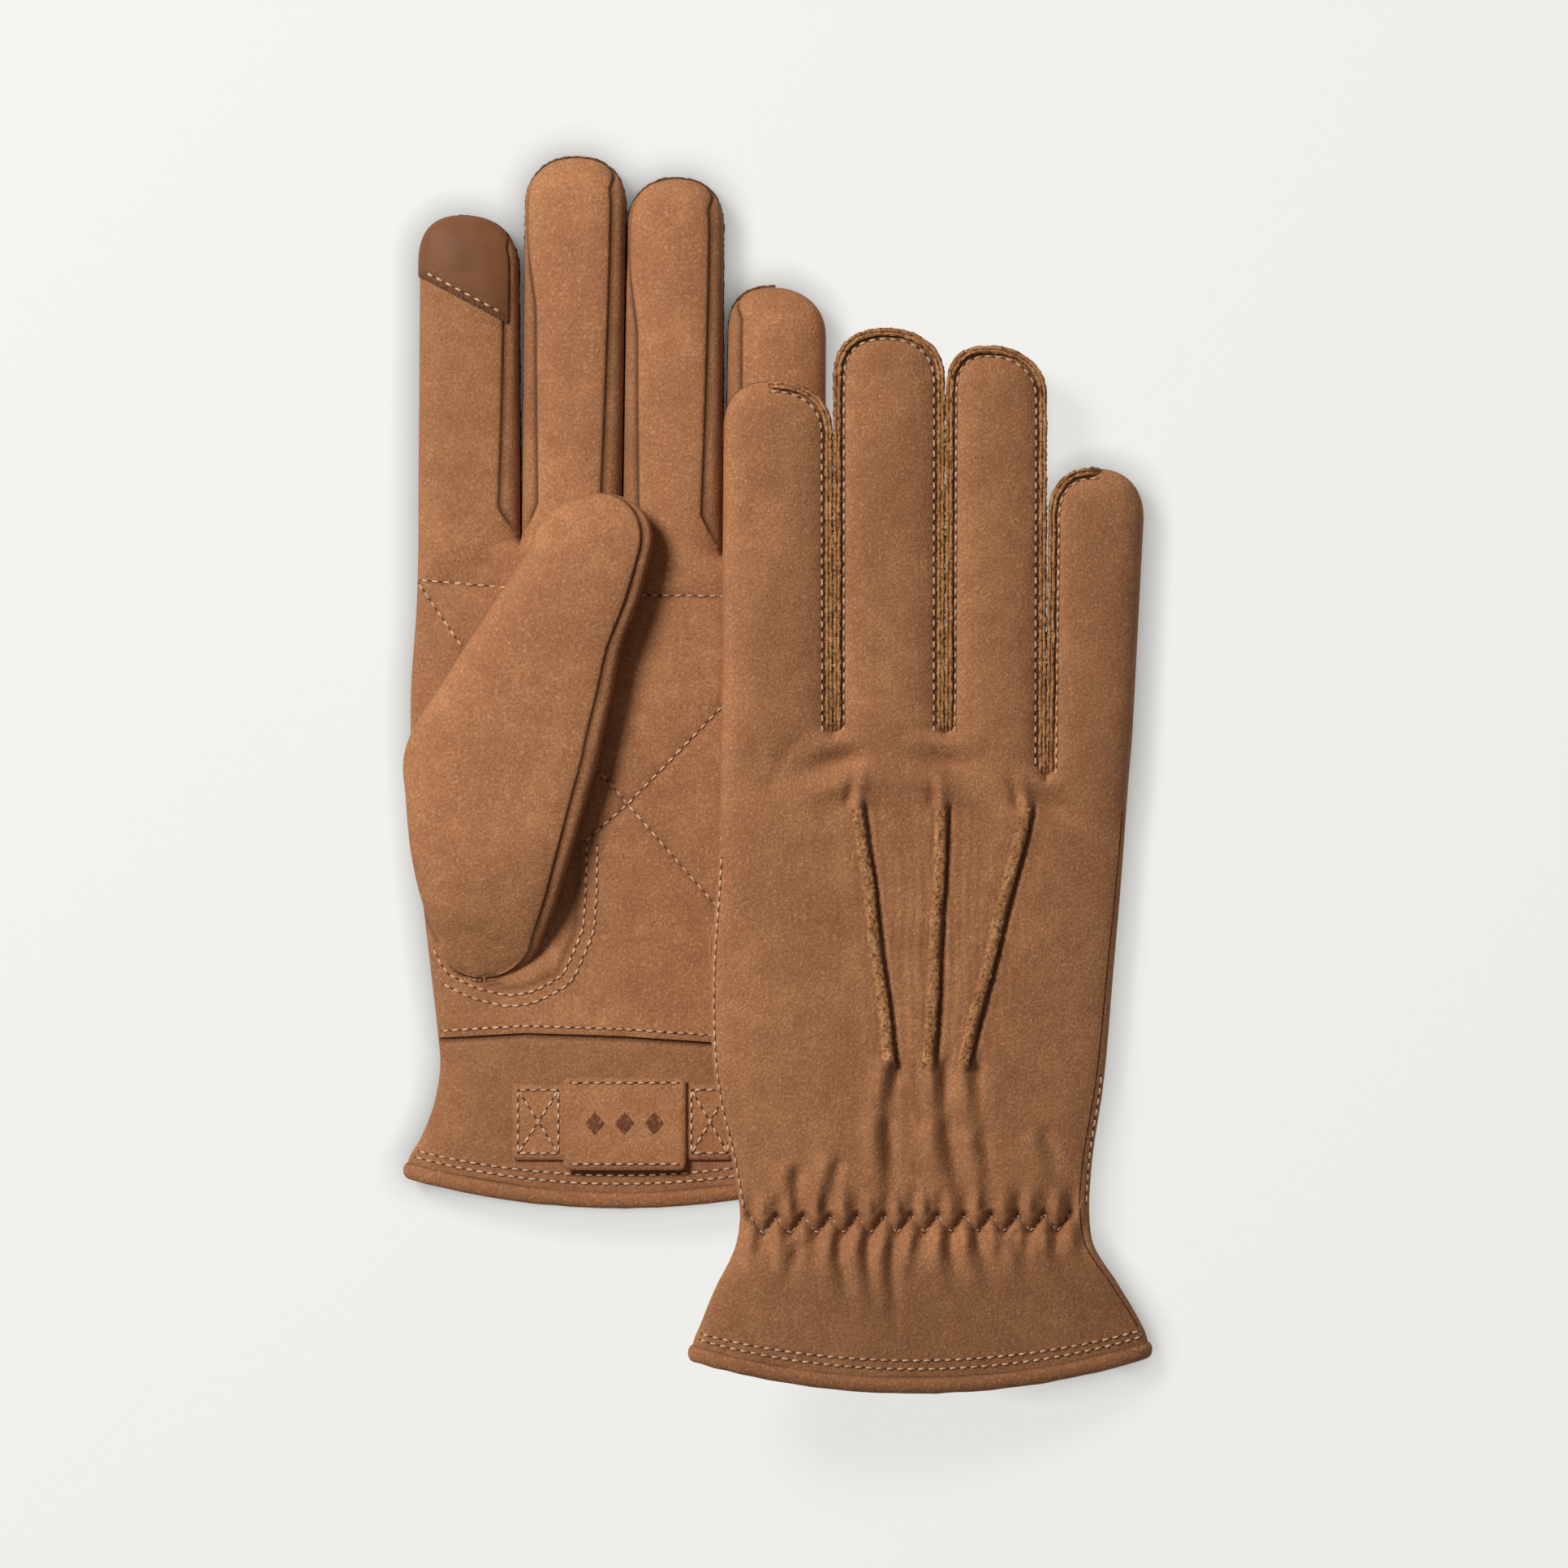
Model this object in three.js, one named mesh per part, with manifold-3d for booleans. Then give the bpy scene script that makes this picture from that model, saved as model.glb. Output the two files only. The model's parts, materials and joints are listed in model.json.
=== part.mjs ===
// A pair of lined leather touchscreen gloves, laid one on the other on a table.
// The left glove lies palm up. The right glove lies back up and leans on the left one.
// Millimetres. +X runs from index finger to little finger, +Y to the fingertips, +Z up.
// Each glove is designed flat in its own frame: x = 0 at the middle of the palm,
// y = 0 at the lowest point of the hem, z = 0 at the back of the hand, palm side up.

import * as THREE from 'three';
import { mergeVertices } from 'three/addons/utils/BufferGeometryUtils.js';
import Module from 'manifold-3d';

const wasm = await Module();
wasm.setup();

// ---- driving dimensions ----------------------------------------------------

const THICKNESS = 12.6;              // hand and fingers, lying flat
const MIDDLE = THICKNESS / 2;        // height of the seams between back and palm
const LEATHER = 1.2;                 // depth of the inner face of the leather
const LINING_OUTSIDE = 1.5;          // depth of the outer face of the lining
const LINING_INSIDE = 2.6;           // depth of the inner face of the lining
const GAP = 0.3;                     // clearance between sewn pieces
const HALF_GAP = GAP / 2;
const CUT_THROUGH = 3;               // how far a cutting solid runs past an open end
const FAR = 400;                     // reach of a cutting box that has no near side
const WELD = 1e-4;                   // points closer than this are one point

const HAND_SIDES = 16;
const FINGER_SIDES = 8;
const SECTION_POWER = 2.6;           // 2 is an ellipse, more is squarer

const HEM_HEIGHT = 3.8;
const HEM_BOW = 8;                   // the hem's ends stand this much above its middle
const HEM_REACH = 56;                // x at which the bow is full
const HEM_SWELL = 0.5;               // the rolled hem stands proud of the cuff
const CROTCH = 164;                  // where the fingers part
const STUB_START = 146;              // where a finger's stub begins inside the hand
const CAP_LENGTH = 12.5;             // rounded end of a finger
const CAP_ANGLES = [0, 35, 60, 78].map(THREE.MathUtils.degToRad);  // rings on the rounded end
const LAST_CAP_ANGLE = CAP_ANGLES[CAP_ANGLES.length - 1];
const FOURCHETTE_HALF = 2.6;         // half height of a side strip
const FOURCHETTE_END = 9;            // the strip stops this far short of the tip

const WRIST_SEAM = 42;               // palm panel above, cuff panel below
const ELASTIC = { y: 41.6, width: 4.6, left: -40, right: 35, depth: 1.9, channel: 2.2 };
const STRAP = { left: -27.4, right: 27.6, y: 21.5, width: 19, thick: 1.1, corner: 1.5 };
const LOOP = { left: -14.4, right: 15.8, y: 21.2, width: 22.6, thick: 1.2, corner: 1.2 };
const CORNER_STEPS = 3;              // facets on a strap's rounded corner
const PATCH = { x: -38, y: 225.3, tilt: -24 };    // middle of the patch's slanting seam

const THUMB_THICKNESS = 11.6;
const THUMB_LOW = THICKNESS + GAP + HALF_GAP;     // the thumb lies on the palm
const THUMB_MOUTH = { x: -32, y: 77, halfWidth: 10, halfLength: 15, tilt: -12, quarterSteps: 7 };

// Lean of the right glove: its index side rests on the left glove and on its own thumb.
const LEAN = Math.tan(THREE.MathUtils.degToRad(15));
const LEAN_FROM = 50.5;
const RIGHT_GLOVE = { x: 75.1, y: -45 };          // its frame, seen from the left glove's

// Outline of the hand: edges at a height, and how much the little-finger side is pressed
// down under the other glove.
const HAND = [
  { y: 4.1, left: -57, right: 55.5, bow: HEM_BOW, pressed: 0.15 },
  { y: 14, left: -52.5, right: 50.5, bow: 5, pressed: 0.25 },
  { y: 27, left: -48.2, right: 44.5, bow: 1.5, pressed: 0.25 },
  { y: 43, left: -45.5, right: 39.5, bow: 0, pressed: 0.25 },
  { y: 62, left: -49, right: 41.5, bow: 0, pressed: 0.25 },
  { y: 95, left: -51.5, right: 45.5, bow: 0, pressed: 0.25 },
  { y: 150, left: -50.8, right: 50, bow: 0, pressed: 0.15 },
  { y: 158, left: -50.4, right: 50.2, bow: 0, pressed: 0 },
  { y: CROTCH, left: -49.5, right: 49.3, bow: 0, pressed: 0, flatten: 0.5 },
];

// Outline of the thumb, folded flat across the palm.
const THUMB = [
  { y: 55.5, left: -36, right: -25, flatten: 0.5 },
  { y: 62, left: -45, right: -20.5 },
  { y: 76, left: -49.5, right: -16 },
  { y: 103, left: -53.3, right: -8 },
  { y: 114, left: -53.4, right: -5.5 },
  { y: 138, left: -39, right: 0.4 },
  { y: 160, left: -24.5, right: 7.2 },
  { y: 170, left: -18, right: 6 },
  { y: 176.2, left: -11.5, right: -2, flatten: 0.5 },
];

// Fingers: edges at the crotch and where the rounded end begins, the tip, the knuckle
// where the finger bends, and the sides that have a fourchette (-1 towards the index).
const GLOVES = {
  left: {
    backUp: false,
    fingers: {
      index: { base: [-49.7, -26.1], cap: [-49.5, -26], tip: 245, knuckle: 179, strips: [1] },
      middle: { base: [-24, -0.6], cap: [-23.4, 0.7], tip: 259.4, knuckle: 179, strips: [-1, 1] },
      ring: { base: [0.5, 23.8], cap: [1.3, 23.9], tip: 254.2, knuckle: 179, strips: [-1, 1] },
      pinky: { base: [26.3, 49.4], cap: [26.9, 50.2], tip: 227.6, knuckle: 206, strips: [-1] },
    },
  },
  right: {
    backUp: true,
    fingers: {
      index: { base: [-50.2, -24.4], cap: [-49.9, -23.6], tip: 248.8, knuckle: 181, strips: [1] },
      middle: { base: [-22.6, 3.8], cap: [-22.4, 3.6], tip: 262.4, knuckle: 181, strips: [-1, 1] },
      ring: { base: [4.8, 29.2], cap: [6.2, 29.4], tip: 258.2, knuckle: 181, strips: [-1, 1] },
      pinky: { base: [29.9, 50.4], cap: [31.4, 53.2], tip: 227.6, knuckle: 181, strips: [-1] },
    },
  },
};

const COLOURS = {
  leather: { color: '#a5744e', roughness: 0.85 },
  patch: { color: '#7d553e', roughness: 0.45 },
  lining: { color: '#6b4a36', roughness: 0.95 },
  elastic: { color: '#d8cbb8', roughness: 0.9 },
};

// ---- solids ----------------------------------------------------------------

function toSolid(geometry) {
  const bare = geometry.index ? geometry.clone() : geometry;
  bare.deleteAttribute('normal');
  bare.deleteAttribute('uv');
  const merged = mergeVertices(bare, WELD);
  return new wasm.Manifold(new wasm.Mesh({
    numProp: 3,
    vertProperties: new Float32Array(merged.attributes.position.array),
    triVerts: new Uint32Array(merged.index.array),
  }));
}

function rounded(value) {
  return Math.sign(value) * Math.abs(value) ** (2 / SECTION_POWER);
}

// One ring of a flat rounded section, with its flats exactly on the section's box.
function ring(station, sides, inset) {
  const halfStep = Math.PI / sides;
  const low = station.low + inset;
  const high = station.high - inset;
  const left = station.left + inset;
  const right = station.right - inset;
  const points = [];
  for (let i = 0; i < sides; i += 1) {
    const angle = (2 * i + 1) * halfStep;
    const across = rounded(Math.cos(angle) / Math.cos(halfStep));
    const upward = rounded(Math.sin(angle) / Math.cos(halfStep)) * (station.flatten ?? 1);
    const x = (left + right) / 2 + across * (right - left) / 2;
    const pressed = 1 - (station.pressed ?? 0) * Math.min(1, Math.max(0, x / LEAN_FROM));
    const z = ((low + high) / 2 + upward * (high - low) / 2) * pressed;
    points.push([x, station.y + (station.bow ?? 0) * (x / HEM_REACH) ** 2, z]);
  }
  return points;
}

// A closed solid through rings. Each end is a ladder of strips between the upper and the
// lower half of its ring, so that a bowed end stays true to its curve.
function loft(rings) {
  const sides = rings[0].length;
  const faces = [];
  for (let j = 0; j + 1 < rings.length; j += 1) {
    for (let i = 0; i < sides; i += 1) {
      const here = j * sides + i;
      const next = j * sides + (i + 1) % sides;
      faces.push(here, here + sides, next, next, here + sides, next + sides);
    }
  }
  const last = (rings.length - 1) * sides;
  for (let i = 0; i + 1 < sides / 2; i += 1) {
    const partner = sides - 1 - i;
    faces.push(i, i + 1, partner - 1, i, partner - 1, partner);
    faces.push(last + i, last + partner - 1, last + i + 1);
    faces.push(last + i, last + partner, last + partner - 1);
  }
  const geometry = new THREE.BufferGeometry();
  geometry.setAttribute('position', new THREE.Float32BufferAttribute(rings.flat(2), 3));
  geometry.setIndex(faces);
  return toSolid(geometry);
}

function box(min, max) {
  const size = new THREE.Vector3().subVectors(max, min);
  const geometry = new THREE.BoxGeometry(size.x, size.y, size.z);
  geometry.translate((min.x + max.x) / 2, (min.y + max.y) / 2, (min.z + max.z) / 2);
  return toSolid(geometry);
}

function slab({ x = [-FAR, FAR], y = [-FAR, FAR], z = [-FAR, FAR] }) {
  return box(new THREE.Vector3(x[0], y[0], z[0]), new THREE.Vector3(x[1], y[1], z[1]));
}

function union(solids) {
  return solids.reduce((sum, solid) => sum.add(solid));
}

const palmSide = slab({ z: [MIDDLE + HALF_GAP, FAR] });
const backSide = slab({ z: [-FAR, MIDDLE - HALF_GAP] });
const aboveWrist = slab({ y: [WRIST_SEAM + HALF_GAP, FAR] });
const belowWrist = slab({ y: [-FAR, WRIST_SEAM - HALF_GAP] });

// ---- hand ------------------------------------------------------------------

function handBody(glove, inset, openEnd) {
  const stations = HAND.map((station) => ({
    ...station,
    low: 0,
    high: THICKNESS,
    pressed: glove.backUp ? 0 : station.pressed,
  }));
  stations[stations.length - 1].y -= inset;
  if (openEnd) {
    stations.unshift({ ...stations[0], y: stations[0].y - CUT_THROUGH });
  }
  const stubs = Object.values(glove.fingers).map((finger) => fingerStub(finger, inset, openEnd));
  return union([loft(stations.map((station) => ring(station, HAND_SIDES, inset))), ...stubs]);
}

function fingerEdges(finger, y) {
  const along = (y - CROTCH) / (finger.tip - CAP_LENGTH - CROTCH);
  const [left, right] = finger.base.map((edge, i) => edge + along * (finger.cap[i] - edge));
  return { left, right, low: 0, high: THICKNESS, y };
}

function fingerStub(finger, inset, openEnd) {
  const end = finger.knuckle + (openEnd ? CUT_THROUGH : -HALF_GAP);
  const stations = [STUB_START, end].map((y) => fingerEdges(finger, y));
  return loft(stations.map((station) => ring(station, FINGER_SIDES, inset)));
}

function handShell(glove, outside, inside) {
  return handBody(glove, outside, false).subtract(handBody(glove, inside, true));
}

function handPieces(glove) {
  const leather = handShell(glove, 0, LEATHER);
  const palm = leather.intersect(palmSide);
  const mouth = thumbMouth();
  const channel = wristStrip(glove, LEATHER, ELASTIC.channel, GAP);
  return {
    hand_back: [leather.intersect(backSide), 'leather'],
    hand_palm: [palm.intersect(aboveWrist).subtract(mouth), 'leather'],
    cuff_palm: [palm.intersect(belowWrist), 'leather'],
    hand_lining: [
      handShell(glove, LINING_OUTSIDE, LINING_INSIDE).subtract(mouth).subtract(channel),
      'lining',
    ],
    wrist_elastic: [wristStrip(glove, LINING_OUTSIDE, ELASTIC.depth, 0), 'elastic'],
    cuff_hem: [hem(), 'leather'],
  };
}

// The elastic lies in a shallow channel of the lining, behind the back of the wrist.
function wristStrip(glove, outside, inside, margin) {
  const half = ELASTIC.width / 2 + margin;
  const reach = slab({
    x: [ELASTIC.left - margin, ELASTIC.right + margin],
    y: [ELASTIC.y - half, ELASTIC.y + half],
    z: [-FAR, MIDDLE - GAP],
  });
  return handShell(glove, outside, inside).intersect(reach);
}

function hem() {
  const edge = { left: HAND[0].left, right: HAND[0].right, low: 0, high: THICKNESS, bow: HEM_BOW };
  const outside = [
    { y: 0, inset: LEATHER },
    { y: HEM_HEIGHT / 2, inset: 0 },
    { y: HEM_HEIGHT, inset: 0 },
  ].map(({ y, inset }) => ring(
    { ...edge, y, left: edge.left - HEM_SWELL, right: edge.right + HEM_SWELL },
    HAND_SIDES,
    inset,
  ));
  const inside = [-CUT_THROUGH, HEM_HEIGHT + CUT_THROUGH]
    .map((y) => ring({ ...edge, y }, HAND_SIDES, LINING_INSIDE));
  return loft(outside).subtract(loft(inside));
}

// ---- fingers ---------------------------------------------------------------

function fingerBody(finger, inset, openEnd) {
  const start = finger.knuckle + (openEnd ? -CUT_THROUGH : HALF_GAP);
  const capStart = finger.tip - CAP_LENGTH;
  const rings = [ring(fingerEdges(finger, start), FINGER_SIDES, inset)];
  const full = fingerEdges(finger, capStart);
  const middleX = (full.left + full.right) / 2;
  const halfWidth = (full.right - full.left) / 2 - inset;
  const halfHeight = THICKNESS / 2 - inset;
  for (const angle of CAP_ANGLES) {
    const narrow = Math.cos(angle);
    rings.push(ring({
      y: capStart + (CAP_LENGTH - inset) * Math.sin(angle) / Math.sin(LAST_CAP_ANGLE),
      left: middleX - halfWidth * narrow,
      right: middleX + halfWidth * narrow,
      low: MIDDLE - halfHeight * narrow,
      high: MIDDLE + halfHeight * narrow,
    }, FINGER_SIDES, 0));
  }
  return loft(rings);
}

function fingerShell(finger, outside, inside) {
  return fingerBody(finger, outside, false).subtract(fingerBody(finger, inside, true));
}

// The band of a finger's side that a fourchette fills, grown by a margin.
function stripBand(finger, side, margin) {
  const middleX = (finger.base[0] + finger.base[1] + finger.cap[0] + finger.cap[1]) / 4;
  const half = FOURCHETTE_HALF + margin;
  return slab({
    x: side > 0 ? [middleX, FAR] : [-FAR, middleX],
    y: [-FAR, finger.tip - FOURCHETTE_END + margin],
    z: [MIDDLE - half, MIDDLE + half],
  });
}

function fourchettes(name, finger, leather) {
  return Object.fromEntries(finger.strips.map((side) => {
    const label = side > 0 ? 'outer' : 'inner';
    const strip = leather.intersect(stripBand(finger, side, -HALF_GAP));
    return [`${name}_fourchette_${label}`, [strip, 'leather']];
  }));
}

function fingerPieces(name, finger) {
  const leather = fingerShell(finger, 0, LEATHER);
  const bands = union(finger.strips.map((side) => stripBand(finger, side, HALF_GAP)));
  const rest = leather.subtract(bands);
  const pieces = {
    ...fourchettes(name, finger, leather),
    [`${name}_lining`]: [fingerShell(finger, LINING_OUTSIDE, LINING_INSIDE), 'lining'],
  };
  if (finger.strips.length === 2) {
    pieces[`${name}_back`] = [rest.intersect(backSide), 'leather'];
    pieces[`${name}_palm`] = [rest.intersect(palmSide), 'leather'];
  } else if (name === 'index') {
    pieces.index_wrap = [rest.subtract(patchRegion(HALF_GAP)), 'leather'];
    pieces.touch_patch = [leather.intersect(patchRegion(-HALF_GAP)), 'patch'];
  } else {
    pieces[`${name}_wrap`] = [rest, 'leather'];
  }
  return pieces;
}

// Everything on the palm side of the index finger beyond the patch's slanting seam, as far
// as the strip on the finger's inner side.
function patchRegion(margin) {
  const geometry = new THREE.BoxGeometry(FAR, FAR, FAR);
  geometry.translate(0, FAR / 2 - margin, FAR / 2);
  geometry.rotateZ(THREE.MathUtils.degToRad(PATCH.tilt));
  geometry.translate(PATCH.x, PATCH.y, MIDDLE + FOURCHETTE_HALF - margin);
  return toSolid(geometry);
}

// ---- thumb -----------------------------------------------------------------

function thumbBody(inset) {
  const stations = THUMB.map((station) => ({
    ...station,
    low: THUMB_LOW,
    high: THUMB_LOW + THUMB_THICKNESS,
  }));
  stations[0].y += inset;
  stations[stations.length - 1].y -= inset;
  return loft(stations.map((station) => ring(station, FINGER_SIDES, inset)));
}

// The thumb opens into the palm through an oval mouth.
function thumbMouth() {
  const shape = new THREE.Shape();
  shape.absellipse(0, 0, THUMB_MOUTH.halfWidth, THUMB_MOUTH.halfLength, 0, 2 * Math.PI);
  const geometry = new THREE.ExtrudeGeometry(shape, {
    depth: THICKNESS,
    bevelEnabled: false,
    curveSegments: THUMB_MOUTH.quarterSteps,
  });
  geometry.rotateZ(THREE.MathUtils.degToRad(THUMB_MOUTH.tilt));
  geometry.translate(THUMB_MOUTH.x, THUMB_MOUTH.y, MIDDLE);
  return toSolid(geometry);
}

function thumbPieces() {
  const mouth = thumbMouth();
  const leather = thumbBody(0).subtract(thumbBody(LEATHER)).subtract(mouth);
  const lining = thumbBody(LINING_OUTSIDE).subtract(thumbBody(LINING_INSIDE)).subtract(mouth);
  const seam = THUMB_LOW + THUMB_THICKNESS / 2;
  return {
    thumb_front: [leather.intersect(slab({ z: [seam + HALF_GAP, FAR] })), 'leather'],
    thumb_back: [leather.intersect(slab({ z: [-FAR, seam - HALF_GAP] })), 'leather'],
    thumb_lining: [lining, 'lining'],
  };
}

// ---- strap on the cuff -----------------------------------------------------

function strapPlate({ left, right, y, width, thick, corner }, z) {
  const shape = new THREE.Shape();
  const low = y - width / 2;
  const high = y + width / 2;
  shape.moveTo(left + corner, low);
  shape.lineTo(right - corner, low);
  shape.absarc(right - corner, low + corner, corner, -Math.PI / 2, 0);
  shape.lineTo(right, high - corner);
  shape.absarc(right - corner, high - corner, corner, 0, Math.PI / 2);
  shape.lineTo(left + corner, high);
  shape.absarc(left + corner, high - corner, corner, Math.PI / 2, Math.PI);
  shape.lineTo(left, low + corner);
  shape.absarc(left + corner, low + corner, corner, Math.PI, 1.5 * Math.PI);
  const geometry = new THREE.ExtrudeGeometry(shape, {
    depth: thick,
    bevelEnabled: false,
    curveSegments: CORNER_STEPS,
  });
  geometry.translate(0, 0, z);
  return toSolid(geometry);
}

function strapPieces() {
  const strapLevel = THICKNESS + GAP;
  return {
    strap: [strapPlate(STRAP, strapLevel), 'leather'],
    strap_loop: [strapPlate(LOOP, strapLevel + STRAP.thick + GAP), 'leather'],
  };
}

// ---- the pair --------------------------------------------------------------

// Turns a solid of the flat design into the glove's own lie: the right glove is turned
// back up, which mirrors it, and then leans.
function toGeometry(solid, backUp) {
  const mesh = solid.getMesh();
  const positions = new Float32Array(mesh.vertProperties);
  const faces = Uint32Array.from(mesh.triVerts);
  if (backUp) {
    for (let i = 0; i < positions.length; i += 3) {
      positions[i + 2] = THICKNESS - positions[i + 2] + LEAN * (LEAN_FROM - positions[i]);
    }
    for (let i = 0; i < faces.length; i += 3) {
      [faces[i], faces[i + 1]] = [faces[i + 1], faces[i]];
    }
  }
  const geometry = new THREE.BufferGeometry();
  geometry.setAttribute('position', new THREE.BufferAttribute(positions, 3));
  geometry.setIndex(new THREE.BufferAttribute(faces, 1));
  geometry.computeVertexNormals();
  return geometry;
}

function makeGlove(side) {
  const glove = GLOVES[side];
  const group = new THREE.Group();
  const pieces = { ...handPieces(glove), ...strapPieces(), ...thumbPieces() };
  for (const [name, finger] of Object.entries(glove.fingers)) {
    Object.assign(pieces, fingerPieces(name, finger));
  }
  for (const [name, [solid, colour]] of Object.entries(pieces)) {
    const mesh = new THREE.Mesh(
      toGeometry(solid, glove.backUp),
      new THREE.MeshStandardMaterial({ ...COLOURS[colour], metalness: 0 }),
    );
    mesh.name = `${side}_${name}`;
    group.add(mesh);
  }
  return group;
}

function lowestPoint(object) {
  return new THREE.Box3().setFromObject(object, true).min.z;
}

const leftGlove = makeGlove('left');
const rightGlove = makeGlove('right');
rightGlove.position.set(RIGHT_GLOVE.x, RIGHT_GLOVE.y, -lowestPoint(rightGlove));

// The origin is on the table, below the middle of the pair.
const pair = new THREE.Group();
pair.add(leftGlove, rightGlove);
pair.updateMatrixWorld(true);
const middle = new THREE.Box3().setFromObject(pair, true).getCenter(new THREE.Vector3());
pair.position.set(-middle.x, -middle.y, 0);
pair.updateMatrixWorld(true);

export default pair;
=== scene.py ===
"""Looks for a pair of lined nubuck touchscreen gloves.

Each glove is designed flat in its own frame, in millimetres: x = 0 at the middle of the palm and
growing towards the little finger, y = 0 at the lowest point of the hem, z = 0 at the back of the hand
with the palm side up. Glove.place() carries that design into the row frame, in metres.
"""

import json
import math

import bpy
import numpy as np
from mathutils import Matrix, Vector


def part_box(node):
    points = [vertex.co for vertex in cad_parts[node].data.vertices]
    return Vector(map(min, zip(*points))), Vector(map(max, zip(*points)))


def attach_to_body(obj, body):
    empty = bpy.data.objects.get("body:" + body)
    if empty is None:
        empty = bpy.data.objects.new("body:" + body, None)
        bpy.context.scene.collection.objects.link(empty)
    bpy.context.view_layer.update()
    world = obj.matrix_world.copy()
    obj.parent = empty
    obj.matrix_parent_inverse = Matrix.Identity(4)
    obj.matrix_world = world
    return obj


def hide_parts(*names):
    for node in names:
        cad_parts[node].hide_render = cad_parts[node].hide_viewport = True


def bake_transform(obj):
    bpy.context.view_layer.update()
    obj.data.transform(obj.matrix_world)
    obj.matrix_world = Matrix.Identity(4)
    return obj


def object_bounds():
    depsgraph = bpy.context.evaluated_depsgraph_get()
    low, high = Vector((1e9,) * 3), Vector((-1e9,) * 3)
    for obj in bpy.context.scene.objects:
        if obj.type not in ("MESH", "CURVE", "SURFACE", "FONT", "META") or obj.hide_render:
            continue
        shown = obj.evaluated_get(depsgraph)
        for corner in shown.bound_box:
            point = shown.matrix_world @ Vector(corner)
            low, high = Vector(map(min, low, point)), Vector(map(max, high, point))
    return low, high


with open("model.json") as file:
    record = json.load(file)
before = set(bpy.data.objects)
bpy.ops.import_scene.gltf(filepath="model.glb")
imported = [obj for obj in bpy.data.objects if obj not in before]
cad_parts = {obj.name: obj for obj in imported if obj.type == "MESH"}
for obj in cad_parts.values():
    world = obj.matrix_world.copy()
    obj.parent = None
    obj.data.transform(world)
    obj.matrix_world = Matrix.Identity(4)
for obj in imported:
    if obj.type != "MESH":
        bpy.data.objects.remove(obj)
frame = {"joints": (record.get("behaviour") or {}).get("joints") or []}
cad_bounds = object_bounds()

# ---- driving dimensions, in millimetres: the design that the CAD nodes hold ----

MM = 0.001
THICKNESS = 12.6
MIDDLE = THICKNESS / 2
LEATHER = 1.1
KNIT = 0.8
# The strap and the tab over it: plan, thickness, and rise over the palm. The strap's level is the
# height of its underside in the CAD.
STRAP = {"left": -27.4, "right": 27.6, "low": 12.0, "high": 31.0, "level": 12.9, "thick": 1.1, "rise": 0.05}
TAB = {"left": -14.4, "right": 15.8, "low": 9.6, "high": 32.6, "thick": 1.3, "rise": 1.35}
LEAN_DEGREES = 15
LEAN = math.tan(math.radians(LEAN_DEGREES))
LEAN_FROM = 50.5
HEM_REACH = 56
HEM_TOP = 4.1
SECTION_POWER = 2.6        # of the flat rounded section; 2 is an ellipse, more is squarer
FINGERS = ("index", "middle", "ring", "pinky")

# Rows of the hand's outline: height, left edge, right edge.
OUTLINE = {
    "left": [(0, -53.6, 55.5), (4.5, -52.9, 55.2), (12, -50.2, 51.5), (25, -46.4, 45.5), (36, -45, 39.8),
             (43, -45.6, 39), (60, -47.5, 40.4), (75, -49.2, 43), (104, -51.8, 45.7), (126, -52.3, 47.6),
             (150, -50.8, 49.6), (164, -50.4, 50.2)],
    "right": [(0, -58, 55.4), (4.5, -57.4, 54.9), (11, -55.8, 53.2), (25, -51.8, 47.4), (37, -46.8, 41),
              (43, -45.9, 40.4), (55, -47.4, 40.9), (75, -51.8, 43.8), (104, -53, 46.4), (126, -51.6, 48.3),
              (145, -50.8, 49.7), (164, -50.5, 51.2)],
}
# How far the hem's ends stand above its middle, by height.
BOW = [(0, 8), (4.1, 8), (14, 5), (27, 1.5), (43, 0)]
# How much the left hand's little-finger side is pressed down under the right glove, by height.
PRESSED = [(0, 0.13), (14, 0.24), (27, 0.24), (95, 0.24), (150, 0.14), (158, 0)]

# Fingers: edges at the crotch and where the round end begins, tip, how far the round end leans
# sideways, and the sides with a seam.
SHAPES = {
    "left": {
        "index": {"base": (-50.5, -25.1), "cap": (-50.0, -25.6), "tip": 245, "skew": -1.6, "seams": (1,)},
        "middle": {"base": (-24.9, -0.15), "cap": (-24.0, 0.9), "tip": 259.6, "skew": 0.2, "seams": (-1, 1)},
        "ring": {"base": (0.05, 24.8), "cap": (1.2, 25.1), "tip": 254.4, "skew": 0.3, "seams": (-1, 1)},
        "pinky": {"base": (25.3, 50.2), "cap": (26.2, 50.4), "tip": 227.6, "skew": -1.5, "seams": (-1,)},
    },
    "right": {
        "index": {"base": (-50.5, -23.15), "cap": (-49.9, -23.3), "tip": 248.4, "skew": -1.2, "seams": (1,)},
        "middle": {"base": (-22.95, 4.3), "cap": (-22.9, 4.35), "tip": 261.6, "skew": -0.8, "seams": (-1, 1)},
        "ring": {"base": (4.5, 29.4), "cap": (4.75, 29.6), "tip": 257.6, "skew": -1.8, "seams": (-1, 1)},
        "pinky": {"base": (29.6, 51.2), "cap": (30.2, 53.9), "tip": 227.8, "skew": -0.3, "seams": (-1,)},
    },
}
KNUCKLE = 164.0            # where the edges at the crotch are given
CAP = 12.5                 # length of a finger's round end
CAP_POWER = 2.35           # 2 is a half ellipse, more is squarer
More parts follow.
